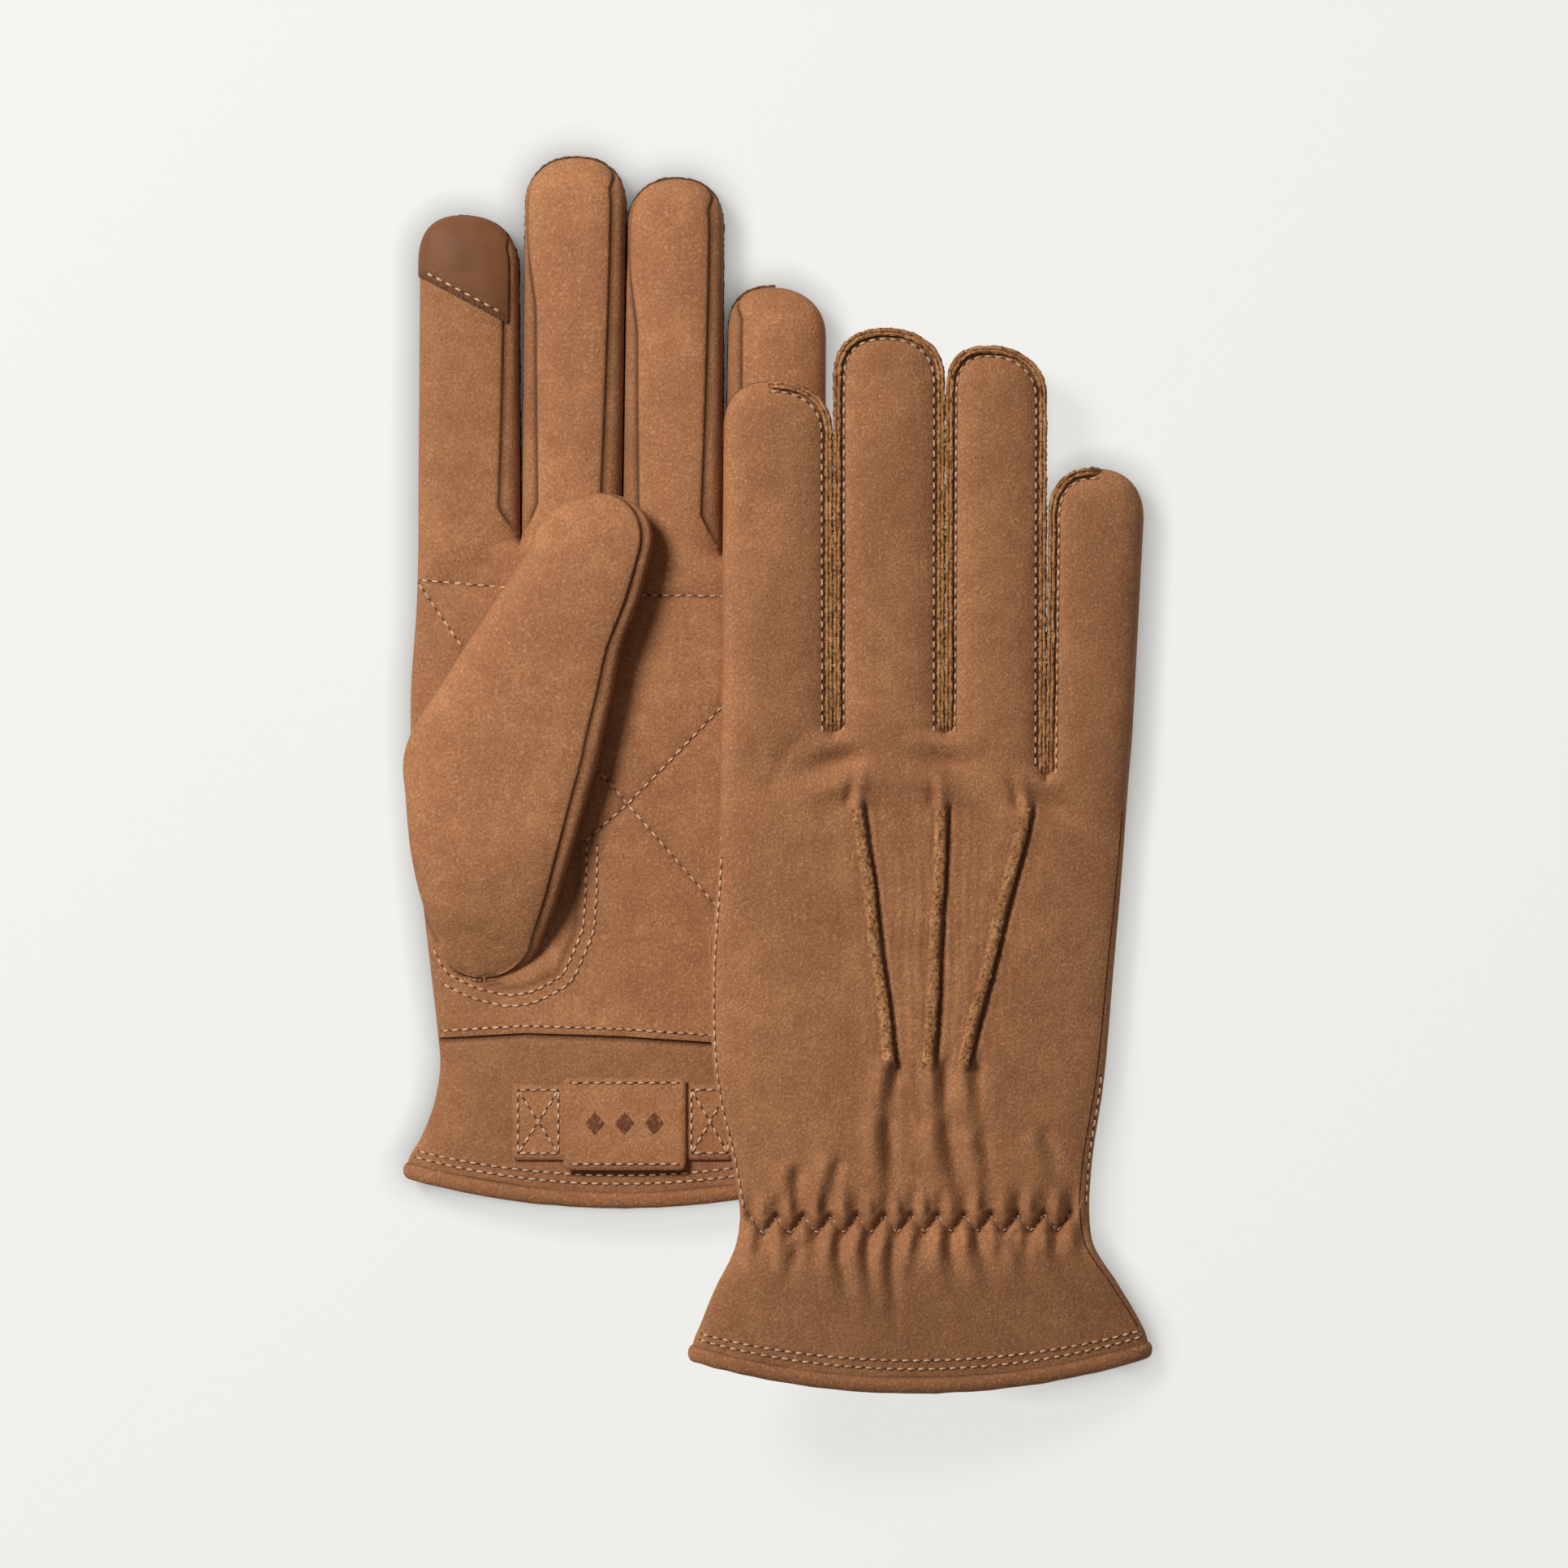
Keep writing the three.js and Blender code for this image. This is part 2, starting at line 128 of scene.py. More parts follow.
# Where the fingers part: the line of the crotches, x and y.
CROTCH = {
    "left": [(-51, 166), (-25, 166.5), (-0.1, 165.5), (25, 163), (51, 158)],
    "right": [(-51, 164), (-22.9, 164), (4.3, 164), (29.5, 153.5), (51, 153.5)],
}
KNUCKLE_BLEND = 12.0       # half the length over which a finger bends
EDGE_BLEND = 14.0          # how far up a finger its outer side follows the hand's own edge
VALLEY = 4.0               # how far the valleys between the fingers run down the hand
OUTER_VALLEY = 13.0        # how much further down they run at the hand's two sides
OUTER_FROM = 31.0          # how far from the middle that begins, and the width over which it grows
OUTER_GROWS = 9.0
RELIEF_FADES = 30.0        # how far the hand's folds run up a finger
ON_TABLE = 0.02            # nothing sinks below this height

SEED = 7


# ---- small numeric helpers ----

def smooth_curve(at, table, column=1):
    """A smooth curve through a table's rows (height first), flat beyond its ends."""
    knots = np.array([row[0] for row in table], float)
    values = np.array([row[column] for row in table], float)
    slopes = np.gradient(values, knots)
    at = np.asarray(at, float)
    i = np.clip(np.searchsorted(knots, at) - 1, 0, len(knots) - 2)
    step = knots[i + 1] - knots[i]
    t = np.clip((at - knots[i]) / step, 0, 1)
    return ((2 * t**3 - 3 * t**2 + 1) * values[i] + (t**3 - 2 * t**2 + t) * step * slopes[i]
            + (3 * t**2 - 2 * t**3) * values[i + 1] + (t**3 - t**2) * step * slopes[i + 1])


def ease(t):
    t = np.clip(t, 0, 1)
    return t * t * (3 - 2 * t)


def bump(distance, width):
    return np.exp(-(np.asarray(distance) / width) ** 2)


def ripple(x, y, size, seed, waves=6):
    """Smooth seeded unevenness between about -1 and 1, with features of the given size."""
    random = np.random.default_rng(seed)
    total = 0
    for _ in range(waves):
        angle = random.uniform(0, math.pi)
        rate = 2 * math.pi / (size * random.uniform(0.7, 1.5))
        phase = random.uniform(0, 2 * math.pi)
        total = total + np.sin(rate * (x * math.cos(angle) + y * math.sin(angle)) + phase)
    return total / waves * 1.6


def segment_distance(x, y, start, end):
    """(distance to a segment, signed side, share along it)"""
    ax, ay = start
    dx, dy = end[0] - ax, end[1] - ay
    length = math.hypot(dx, dy)
    share = ((x - ax) * dx + (y - ay) * dy) / length**2
    side = ((x - ax) * dy - (y - ay) * dx) / length
    inside = np.clip(share, 0, 1)
    distance = np.hypot(x - ax - inside * dx, y - ay - inside * dy)
    return distance, side, share


def profile(across):
    """Half height of the flat rounded section at a share of its half width."""
    return np.clip(1 - np.abs(across) ** SECTION_POWER, 0, 1) ** (1 / SECTION_POWER)


def superellipse(theta, power):
    """Shares of the half width and half height at angles round a squarish ellipse."""
    c, s = np.cos(theta), np.sin(theta)
    return np.sign(c) * np.abs(c) ** (2 / power), np.sign(s) * np.abs(s) ** (2 / power)


def bow(x, station):
    """How far the curve of the hem moves a place of the hand up the plan."""
    return smooth_curve(station, BOW) * (x / HEM_REACH) ** 2


def raised(surface, rise):
    """The same surface, higher by a distance."""
    def above(plan):
        points = surface(plan)
        points[..., 2] += rise
        return points
    return above


# ---- a glove's frame and its surfaces ----

POINT_LINES = [((-17.3, 146), (-8.9, 79)), ((3.7, 146), (0.3, 78.6)), ((25.1, 146), (8.1, 78.6))]
GATHER_Y = 41.6
GATHER_PITCH = 6.6
WRINKLE_PITCH = 2.3
# The long folds of the back: start, end, height, width.
LONG_FOLDS = [
    ((-10, 84), (-13.5, 64), 1.5, 2.2), ((-13.5, 70), (-12, 43), 1.9, 2.6), ((1, 84), (1.5, 62), 1.9, 2.2),
    ((0, 68), (5.5, 43), 2.0, 2.8), ((8.5, 84), (10.5, 62), 1.4, 2.2), ((10, 66), (14, 44), 1.1, 2.2),
    ((-34.5, 58), (-37, 43), 1.2, 2.2), ((25, 66), (31, 45), 0.9, 2.4), ((-24, 60), (-27.5, 44), 0.9, 2.0),
    ((-32.5, 40), (-38, 27), 1.0, 2.0), ((-26.5, 40), (-21.5, 19), 1.5, 2.4),
    ((-19, 40), (-15, 16), 1.8, 2.4), ((-12.5, 40), (-11, 14), 1.7, 2.2), ((-5.5, 40), (-6, 26), 0.8, 1.8),
    ((1.5, 40), (4.5, 24), 1.2, 2.2), ((9, 40), (13.5, 22), 1.2, 2.2), ((18, 40), (23, 24), 1.0, 2.2),
    ((26, 40), (33, 26), 0.8, 2.0),
]
WRIST_SEAM = [(-46, 42), (-24, 43.4), (0, 42.6), (23, 41), (40, 39.5)]


class Glove:
    def __init__(self, side, looks):
        self.side = side
        self.looks = looks
        self.back_up = side == "right"
        low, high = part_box(f"{side}_strap")
        self.x = low.x / MM - STRAP["left"]
        self.y = low.y / MM - STRAP["low"]
        self.lift = 0.0
        if self.back_up:
            turned = THICKNESS - STRAP["level"] - STRAP["thick"] + LEAN * (LEAN_FROM - STRAP["right"])
            self.lift = low.z / MM - turned

    def place(self, points):
        """Design points, in millimetres, to the row frame, in metres."""
        placed = np.array(points, float)
        if self.back_up:
            placed[..., 2] = THICKNESS - placed[..., 2] + LEAN * (LEAN_FROM - placed[..., 0]) + self.lift
        placed[..., 2] = np.maximum(placed[..., 2], ON_TABLE)
        placed[..., 0] += self.x
        placed[..., 1] += self.y
        return placed * MM

    def bend(self, part):
        """Where a finger or the thumb bends, up the glove, and half the length that the bend takes."""
        if part == "thumb":
            return THUMB_BEND
        joint = next(j for j in frame["joints"] if j["child"] == f"{self.side}_{part}")
        return joint["pos_m"][1] / MM - self.y, KNUCKLE_BLEND

    def edges(self, y):
        return smooth_curve(y, OUTLINE[self.side], 1), smooth_curve(y, OUTLINE[self.side], 2)

    def finger_edges(self, finger, y):
        """Sides of a finger at a height. Close to the hand, the outer sides run on from its edge."""
        shape = SHAPES[self.side][finger]
        y = np.asarray(y, float)
        along = (y - KNUCKLE) / (shape["tip"] - CAP - KNUCKLE)
        left = shape["base"][0] + along * (shape["cap"][0] - shape["base"][0])
        right = shape["base"][1] + along * (shape["cap"][1] - shape["base"][1])
        if finger == "index":
            near = ease((CROTCH[self.side][0][1] + EDGE_BLEND - y) / EDGE_BLEND)
            left = left + (self.edges(y)[0] - left) * near
        elif finger == "pinky":
            near = ease((CROTCH[self.side][-1][1] + EDGE_BLEND - y) / EDGE_BLEND)
            right = right + (self.edges(y)[1] - right) * near
        return left, right

    def outer_shade(self, x):
        """Painted shade towards the index finger's side, where the hand curves away from the light, on the
        glove that lies palm up.
        """
        return 0 * x if self.back_up else OUTER_SHADE * ease((OUTER_SHADE_FROM - x) / OUTER_SHADE_GROWS)

    def crotch(self, x):
        return np.interp(x, [p[0] for p in CROTCH[self.side]], [p[1] for p in CROTCH[self.side]])

    def half_height(self, x, station):
        """Half thickness of the hand at a place, with the valleys that run down from the crotches."""
        left, right = self.edges(station)
        across = (x - (left + right) / 2) / ((right - left) / 2)
        flat = profile(across)
        split = np.zeros_like(x)
        for finger in FINGERS:
            a, b = self.finger_edges(finger, station)
            split = np.maximum(split, profile((x - (a + b) / 2) / ((b - a) / 2)))
        reach = VALLEY + OUTER_VALLEY * ease((np.abs(x) - OUTER_FROM) / OUTER_GROWS)
        share = ease((station - self.crotch(x) + reach) / reach)
        return MIDDLE * (flat + (split - flat) * share)

    def hand(self, x, station, palm):
        """Points of the hand's outer surface; palm is True on the palm side."""
        x = np.asarray(x, float)
        station = np.asarray(station, float)
        half = self.half_height(x, station)
        lift = self.palm_relief(x, station) if palm else self.back_relief(x, station)
        lift = lift * ease(half / MIDDLE * 1.3)
        z = MIDDLE + half + lift if palm else MIDDLE - half - lift
        return np.stack([x, station + bow(x, station), self.press(x, station, z)], -1)

    def press(self, x, station, z):
        """Heights as they are under the right glove's weight."""
        if self.back_up:
            return z
        pressed = smooth_curve(station, PRESSED) * np.clip(x / LEAN_FROM, 0, 1)
        return np.maximum(z * (1 - pressed), ON_TABLE)

    def hand_at(self, xy, palm):
        """The hand's surface at plan points."""
        xy = np.asarray(xy, float)
        station = xy[..., 1]
        for _ in range(3):
            station = xy[..., 1] - bow(xy[..., 0], station)
        return self.hand(xy[..., 0], station, palm)

    def face(self, palm):
        """The palm or back face of the hand, as a function of plan points."""
        return lambda plan: self.hand_at(plan, palm)

    def back_relief(self, x, y):
        """Outward lift of the back: tucks, gathers at the wrist, soft folds at the knuckles."""
        lift = 0.30 * ripple(x, y, 42, SEED) + 0.12 * ripple(x, y, 14, SEED + 1)
        for start, end in POINT_LINES:
            _, side, share = segment_distance(x, y, start, end)
            along = ease(share / 0.05) * ease((1 - share) / 0.05)
            lift = lift + along * (1.0 * bump(side, 1.5) + 0.45 * bump(side - 3.4, 2.6))
            lift = lift - along * (1.35 * bump(side + 2.0, 0.75) + 0.35 * bump(side + 4.5, 2.4))
            foot = (start[0], start[1] - 3)
            lift = lift + self.fold(x, y, foot, (start[0] * 0.9, start[1] + 8), 1.1, 1.5)
        for (cx, cy), tilt in zip(CROTCH[self.side][1:4], (0.25, -0.3, -0.45)):
            u = (x - cx) * math.cos(tilt) + (y - cy + 9) * math.sin(tilt)
            v = -(x - cx) * math.sin(tilt) + (y - cy + 9) * math.cos(tilt)
            lift = lift - 2.3 * bump(u, 7) * bump(v, 2.8) + 1.1 * bump(u, 9) * bump(v + 5.5, 3.2)
        swing = x + 0.9 * ripple(x, y, 18, SEED + 3)
        wrinkles = np.sin(2 * math.pi * swing / WRINKLE_PITCH) * bump(y - 106, 34) * bump(x - 2, 17)
        return lift + 0.12 * wrinkles + self.gathers(x, y)

    def fold(self, x, y, start, end, height, width):
        """A ridge that dies out from start to end, with a furrow on its little-finger side."""
        _, side, share = segment_distance(x, y, start, end)
        along = ease(share / 0.2) * ease(1.1 - share)
        return along * height * (bump(side, width) - 0.9 * bump(side + 1.5 * width, 0.8 * width))

    def gathers(self, x, y):
        """Puffs between the legs of the zigzag, and the long folds that leave its corners."""
        corners = zigzag()
        low_x = corners[0, 0]
        pinch = 99.0
        for a, b in zip(corners, corners[1:]):
            pinch = np.minimum(pinch, segment_distance(x, y, a, b)[0])
        wave = np.cos(2 * math.pi * (x - low_x) / GATHER_PITCH)
        over, under = y - GATHER_Y, GATHER_Y - y
        puff = -wave * bump(over - 3.4, 4.2) + wave * bump(under - 3.4, 4.2)
        lift = -1.1 * bump(over, 6.5) + 1.35 * puff - 1.1 * bump(pinch, 0.9)
        for start, end, height, width in LONG_FOLDS + GATHER_FOLDS:
            lift = lift + self.fold(x, y, start, end, height, width)
        return lift

    def palm_relief(self, x, y):
        lift = 0.28 * ripple(x, y, 38, SEED + 5) + 0.08 * ripple(x, y, 12, SEED + 6)
        for start, end in zip(WRIST_SEAM, WRIST_SEAM[1:]):
            _, side, share = segment_distance(x, y, start, end)
            inside = (share >= 0) & (share < 1)
            lift = lift + np.where(inside, 0.35 * ease((-side + 0.6) / 1.2) * bump(side + 1, 4), 0)
        for line in QUILTING:
            for start, end in zip(line, line[1:]):
                lift = lift - 0.35 * bump(segment_distance(x, y, start, end)[0], 1.3)
        return lift

    def finger_lift(self, x, y, palm, half):
        """Outward lift of a finger: the hand's folds die out into unevenness of its own."""
        relief = np.where(palm, self.palm_relief(x, y), self.back_relief(x, y))
        fade = 1 - ease((y - self.crotch(x)) / RELIEF_FADES)
        own = 0.16 * ripple(x, y, 16, SEED + 11) + 0.09 * ripple(x, y, 7, SEED + 12)
        return (relief * fade + own * (1 - fade)) * ease(half / MIDDLE * 1.3)


def zigzag():
    """Plan corners of the zigzag stitching over the wrist elastic."""
    x = np.arange(ZIGZAG_LEFT, ZIGZAG_RIGHT + 0.1, GATHER_PITCH / 2)
    high = np.arange(len(x)) % 2 == 0
    return np.stack([x, np.where(high, GATHER_Y + ZIGZAG_HALF, GATHER_Y - ZIGZAG_HALF)], -1)


def gather_folds():
    """Short folds from every corner of the zigzag: start, end, height, width."""
    random = np.random.default_rng(SEED + 50)
    folds = []
    for number, (x, y) in enumerate(zigzag()[1:-1]):
        way = 1 if number % 2 == 1 else -1
        length = random.uniform(6, 11)
        end = (x + random.uniform(-1.6, 1.6), y + way * length)
        folds.append(((x, y - way), end, random.uniform(0.5, 0.95), random.uniform(1.2, 1.7)))
    return folds


ZIGZAG_LEFT, ZIGZAG_RIGHT, ZIGZAG_HALF = -43.5, 38.5, 2.5
GATHER_FOLDS = gather_folds()

# Stitched lines that hold the palm to its lining: x and y.
QUILTING = [
    [(-50, 155.2), (-30, 153.4), (5, 151.4), (24.5, 151.2), (49, 151)],
    [(-50.4, 154.6), (-39.2, 138.2), (-3.8, 106), (1.4, 99.8), (23.4, 74.6), (39, 57)],
    [(49, 149), (24.8, 124), (1.4, 99.8), (-9.4, 90.4)],
]


# ---- more of the design ----

SHARP_DEGREES = 52
EDGE_DEPTH = 0.8           # how far a panel's edge turns in to its seam
EDGE_WIDTH = 0.95
LINING_DEPTH = 1.7
ELASTIC_DEPTH = 1.25
CUFF_TUCKS_IN = 0.85       # how far the cuff goes down under the palm panel
TUCK_HALF = 1.45           # half the width of a tuck's raw edge
CORNER = 1.6               # radius of the strap's and the tab's corners
GATHERS_DEPTH = 2.6        # how much deeper the lining lies under the gathers
RIM_SHADE = 0.34           # painted shade: leather that turns away to a side is darker
CUFF_SHADE = 0.26          # painted shade: the cuffs are a little darker than the hand, as they slope away from the light
OUTER_SHADE = 0.2          # painted shade on the index finger's side of the left glove, which curves away from the light
OUTER_SHADE_FROM = -18.0   # x where that begins, and the width over which it grows
OUTER_SHADE_GROWS = 20.0
STITCH_INSET = 2.6         # outseam stitches, inside the outline
HEM_ROWS = (8.2, 6.1)      # stations of the two rows over the hem
SEAT_SEAM = [(-50, 76), (-48, 70.8), (-42, 59.4), (-35.4, 56.2), (-28, 54.4), (-22.8, 55.2), (-16, 58.8),
             (-11.4, 69.4), (-10.8, 78), (-10.6, 90)]
SEAT_ROWS = (1.9, 4.6)     # stitches outside the seam where the thumb is set in
MARK_CENTRES = (-6.6, 0.7, 8.0)
MARK_HALF = 3.1            # half the width of a pressed lozenge
STRAP_BOXES = ((-25.6, -15.6), (17.2, 26.2))
PATCH_LINE = ((-49.6, 15.2), (-29.4, 26.0))   # x, and how far below the tip
PATCH_RISE = {"left": 0.45, "right": 0.15}
PATCH_ROWS = 34
THUMB_BEND = (68.0, 14.0)  # where the thumb turns from the hand, and half the length that it takes

LENS = 250.0
SENSOR = 36.0
VIEW_WIDTH = 386.4         # what the picture spans at the gloves, mm
AIM = (3.2, -2.7)          # middle of the picture, from the middle of the pair, mm
AIM_HEIGHT = 16.0
FLOOR_SIZE = 12.0          # metres, like the dome
DOME = 5.9
FLOOR_GAP = 0.15
FLOOR_COLOUR = (104, 104, 103)
FLOOR_GLOW = (224, 223, 219)   # keeps the floor even; a painted contact shadow dims it close to whatever stands on it
CONTACT_SHADOW_REACH = 9.0            # how far the painted contact shadow reaches, mm
BACKDROP_GLOW = (228, 227, 223)
BACKDROP_COLOUR = (6, 6, 6)
KEY_PLACE = (-0.76, 0.66, 1.1)
KEY_SIZE = 0.5
KEY_POWER = 24.5
OVERHEAD_PLACE = (0, 0, 3.4)
OVERHEAD_SIZE = 2.6
OVERHEAD_POWER = 4.0
AMBIENT = 0.13
AMBIENT_COLOUR = (1.0, 0.99, 0.965, 1.0)


# ---- meshes ----

def make_object(name, points, faces, material, glove, shade=None):
    """A smooth-shaded object from design points. A turned glove is mirrored, so its faces flip.
    shade is painted shade in creases and seams, from 0 to 1; the sides that turn away from the light get
    painted shade too."""
    if glove.back_up:
        faces = [tuple(reversed(face)) for face in faces]
    mesh = bpy.data.meshes.new(name)
    mesh.from_pydata(glove.place(points).tolist(), [], faces)
    rest = mesh.attributes.new("rest", "FLOAT_VECTOR", "POINT")
    rest.data.foreach_set("vector", np.asarray(points, np.float32).ravel() * MM)
    painted_shade = mesh.attributes.new("painted_shade", "FLOAT", "POINT")
    values = np.zeros(len(points)) if shade is None else np.clip(shade, 0, 1)
    if shade is not None:
        # painted shade on the sides that turn away from the light
        normals = np.empty(len(points) * 3, np.float32)
        mesh.vertex_normals.foreach_get("vector", normals)
        values = np.maximum(values, RIM_SHADE * (1 - np.abs(normals[2::3])) ** 1.5)
    painted_shade.data.foreach_set("value", values.astype(np.float32))
    mesh.shade_smooth()
    mesh.set_sharp_from_angle(angle=math.radians(SHARP_DEGREES))
    mesh.materials.append(material)
    piece = bpy.data.objects.new(name, mesh)
    bpy.context.collection.objects.link(piece)
    return piece


UP = np.array([0.0, 0.0, 1.0])


def ring_angles(count):
    return np.linspace(0, 2 * math.pi, count, endpoint=False)


def grid_faces(rows, columns, start=0, flip=False, closed=False):
    faces = []
    for j in range(rows - 1):
        for i in range(columns if closed else columns - 1):
            a = start + j * columns + i
            b = start + j * columns + (i + 1) % columns
            quad = (a, b, b + columns, a + columns)
            faces.append(quad[::-1] if flip else quad)
    return faces


def grid_normals(outer, closed=False):
    if closed:
        across = np.roll(outer, -1, 1) - np.roll(outer, 1, 1)
    else:
        across = np.gradient(outer, axis=1)
    normals = np.cross(across, np.gradient(outer, axis=0))
    length = np.linalg.norm(normals, axis=-1, keepdims=True)
    return normals / np.maximum(length, 1e-9)


def sheet(outer, outward, thick=LEATHER, closed=False):
    """(points, faces) of a sheet of leather with a thickness. outer is a grid of points on its outer
    face; outward is a direction, or a grid of them, that tells which side is out."""
    rows, columns = outer.shape[:2]
    normals = grid_normals(outer, closed)
    flip = np.sum(normals * outward) < 0
    if flip:
        normals = -normals
    points = np.concatenate([outer.reshape(-1, 3), (outer - normals * thick).reshape(-1, 3)])
    count = rows * columns
    faces = grid_faces(rows, columns, 0, flip, closed) + grid_faces(rows, columns, count, not flip, closed)
    first = list(range(columns))
    last = [(rows - 1) * columns + i for i in first]
    if closed:
        borders = [first + first[:1], (last + last[:1])[::-1]]
    else:
        right = [j * columns + columns - 1 for j in range(rows)]
        left = [j * columns for j in range(rows)]
        borders = [first, right, last[::-1], left[::-1]]
    for border in borders:
        for a, b in zip(border, border[1:]):
            quad = (b, a, a + count, b + count)
            faces.append(quad[::-1] if flip else quad)
    return points, faces


def knit_tube(rings):
    """A closed tube of lining through rings of points."""
    return sheet(rings, rings - rings.mean(1, keepdims=True), KNIT, closed=True)


def seam_dip(outer):
    """How much each point of a panel turns in, from 0 to 1: most at its first and last columns."""
    steps = np.linalg.norm(np.diff(outer, axis=1), axis=-1)
    from_first = np.concatenate([np.zeros((len(outer), 1)), np.cumsum(steps, axis=1)], axis=1)
    return np.maximum(bump(from_first, EDGE_WIDTH), bump(from_first[:, -1:] - from_first, EDGE_WIDTH))


def turn_in(outer, axis, dip):
    """The panel with its edges turned in towards an axis."""
    toward = axis - outer
    size = np.linalg.norm(toward, axis=-1, keepdims=True)
    return outer + toward / np.maximum(size, 1e-6) * np.minimum(EDGE_DEPTH * dip[..., None], size * 0.35)


def both_faces(grid_values):
    """One value per grid point, for the outer and the inner face of a sheet."""
    flat = np.asarray(grid_values, float).ravel()
    return np.concatenate([flat, flat])


def joined(parts):
    """Several (points, faces) as one."""
    points, faces, start = [], [], 0
    for part_points, part_faces in parts:
        points.append(part_points)
        faces.extend(tuple(index + start for index in face) for face in part_faces)
        start += len(part_points)
    return np.concatenate(points), faces


def resample(path, step):
    """A polyline's points again, evenly spaced, about a step apart."""
    path = np.asarray(path, float)
    walked = np.concatenate([[0], np.cumsum(np.linalg.norm(np.diff(path, axis=0), axis=1))])
    count = max(2, int(round(walked[-1] / step)) + 1)
    at = np.linspace(0, walked[-1], count)
    return np.stack([np.interp(at, walked, path[:, k]) for k in range(path.shape[1])], -1)


def plan_side(path):
    """Unit vectors in the plan, to the right of a path."""
    along = np.gradient(np.asarray(path, float)[:, :2], axis=0)
    along /= np.maximum(np.linalg.norm(along, axis=1, keepdims=True), 1e-9)
    return np.stack([along[:, 1], -along[:, 0]], -1)


def attach(piece, glove, part, nodes):
    """The piece follows the hand; a piece of a finger or the thumb keeps its place, with its transform baked
    into its mesh.
    """
    hand = f"{glove.side}_hand"
    if part == "hand":
        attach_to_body(piece, hand)
    else:
        middle, reach = glove.bend(part)
        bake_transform(piece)
    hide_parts(*[f"{glove.side}_{node}" for node in nodes])


def add(glove, part, name, shape, look, shade=None, nodes=()):
    """A piece of a glove on one of its parts. shape is (points, faces); nodes are what it replaces."""
    piece = make_object(f"{glove.side}_{name}", *shape, glove.looks[look], glove, shade)
    attach(piece, glove, part, nodes)


# ---- stitches ----

STITCH_SIDES = 6
STITCH_RINGS = (-1, -0.82, -0.45, 0, 0.45, 0.82, 1)


def stitch_template(length, radius):
    """One two-ply stitch along x, arched over the leather, its ends sunk in their holes."""
    points = []
    for share in STITCH_RINGS:
        thick = radius * max(0.15, 1 - abs(share) ** 3.5)
        lift = radius * (0.75 - 1.7 * share**2)
        for i in range(STITCH_SIDES):
            angle = 2 * math.pi * i / STITCH_SIDES
            ply = 1 + 0.16 * math.cos(2 * angle + 5 * share)
            wide = thick * ply
            points.append((share * length / 2, wide * math.cos(angle), lift + wide * math.sin(angle)))
    faces = grid_faces(len(STITCH_RINGS), STITCH_SIDES, flip=True, closed=True)
    last = (len(STITCH_RINGS) - 1) * STITCH_SIDES
    faces.append(tuple(range(STITCH_SIDES)))
    faces.append(tuple(last + i for i in range(STITCH_SIDES))[::-1])
    return np.array(points), faces


def stitches(path, normals, pitch=2.6, length=2.2, radius=0.27):
    """(points, faces) of a row of stitches along a path on a surface."""
    row = resample(np.concatenate([path, normals], axis=1), pitch)
    if len(row) < 2:
        return np.zeros((0, 3)), []
    centres = (row[1:, :3] + row[:-1, :3]) / 2
    along = row[1:, :3] - row[:-1, :3]
    along /= np.linalg.norm(along, axis=1, keepdims=True)
    up = (row[1:, 3:] + row[:-1, 3:]) / 2
    up -= np.sum(up * along, axis=1, keepdims=True) * along
    up /= np.linalg.norm(up, axis=1, keepdims=True)
    template, faces = stitch_template(length, radius)
    side = np.cross(up, along)
    placed = (centres[:, None] + template[None, :, :1] * along[:, None]
              + template[None, :, 1:2] * side[:, None] + template[None, :, 2:] * up[:, None])
    count = len(template)
    every = [tuple(index + k * count for index in face) for k in range(len(centres)) for face in faces]
    return placed.reshape(-1, 3), every


def surface_path(surface, plan, step=0.8):
    """(points, outward normals) of a plan path laid on a surface, which is a function of x and y."""
    plan = resample(plan, step)
    small = 0.25
    points = surface(plan)
    right = surface(plan + [small, 0]) - surface(plan - [small, 0])
    ahead = surface(plan + [0, small]) - surface(plan - [0, small])
    normals = np.cross(right, ahead)
    normals /= np.linalg.norm(normals, axis=1, keepdims=True)
    return points, normals


# ---- fingers ----

PALM_SEAM = 44.0          # where the palm panel ends on the side of a finger, degrees round the section
BACK_SEAM = 20.0          # the same for the back panel
SEAM_WIDENS = 0.32        # the strip between them grows by this share towards the crotch
SEAM_LEAST = 2.0          # how close to the middle of the side the two seams come
STRIP_END = 1.2           # a fourchette ends this far short of the tip
TIP_DEGREES = 88.0
ROW_STEP = 1.5            # between the rows of a finger's points
CAP_ROWS = 15
FLANGE_INSET = 0.85       # middle of the outseam's raw edges, inside the outline
FLANGE_PEEK = 0.35        # the same round the tips of a glove that lies palm up
FLANGE_HALF = 0.93
SEAM_RUNS_DOWN = 2.0      # how far the outseams run on below the crotch
OUTSEAM_CREST = 1.15      # how high over the back the raw edges of an outseam begin
RAW_STEP = 0.6            # between the rows of a raw edge's points


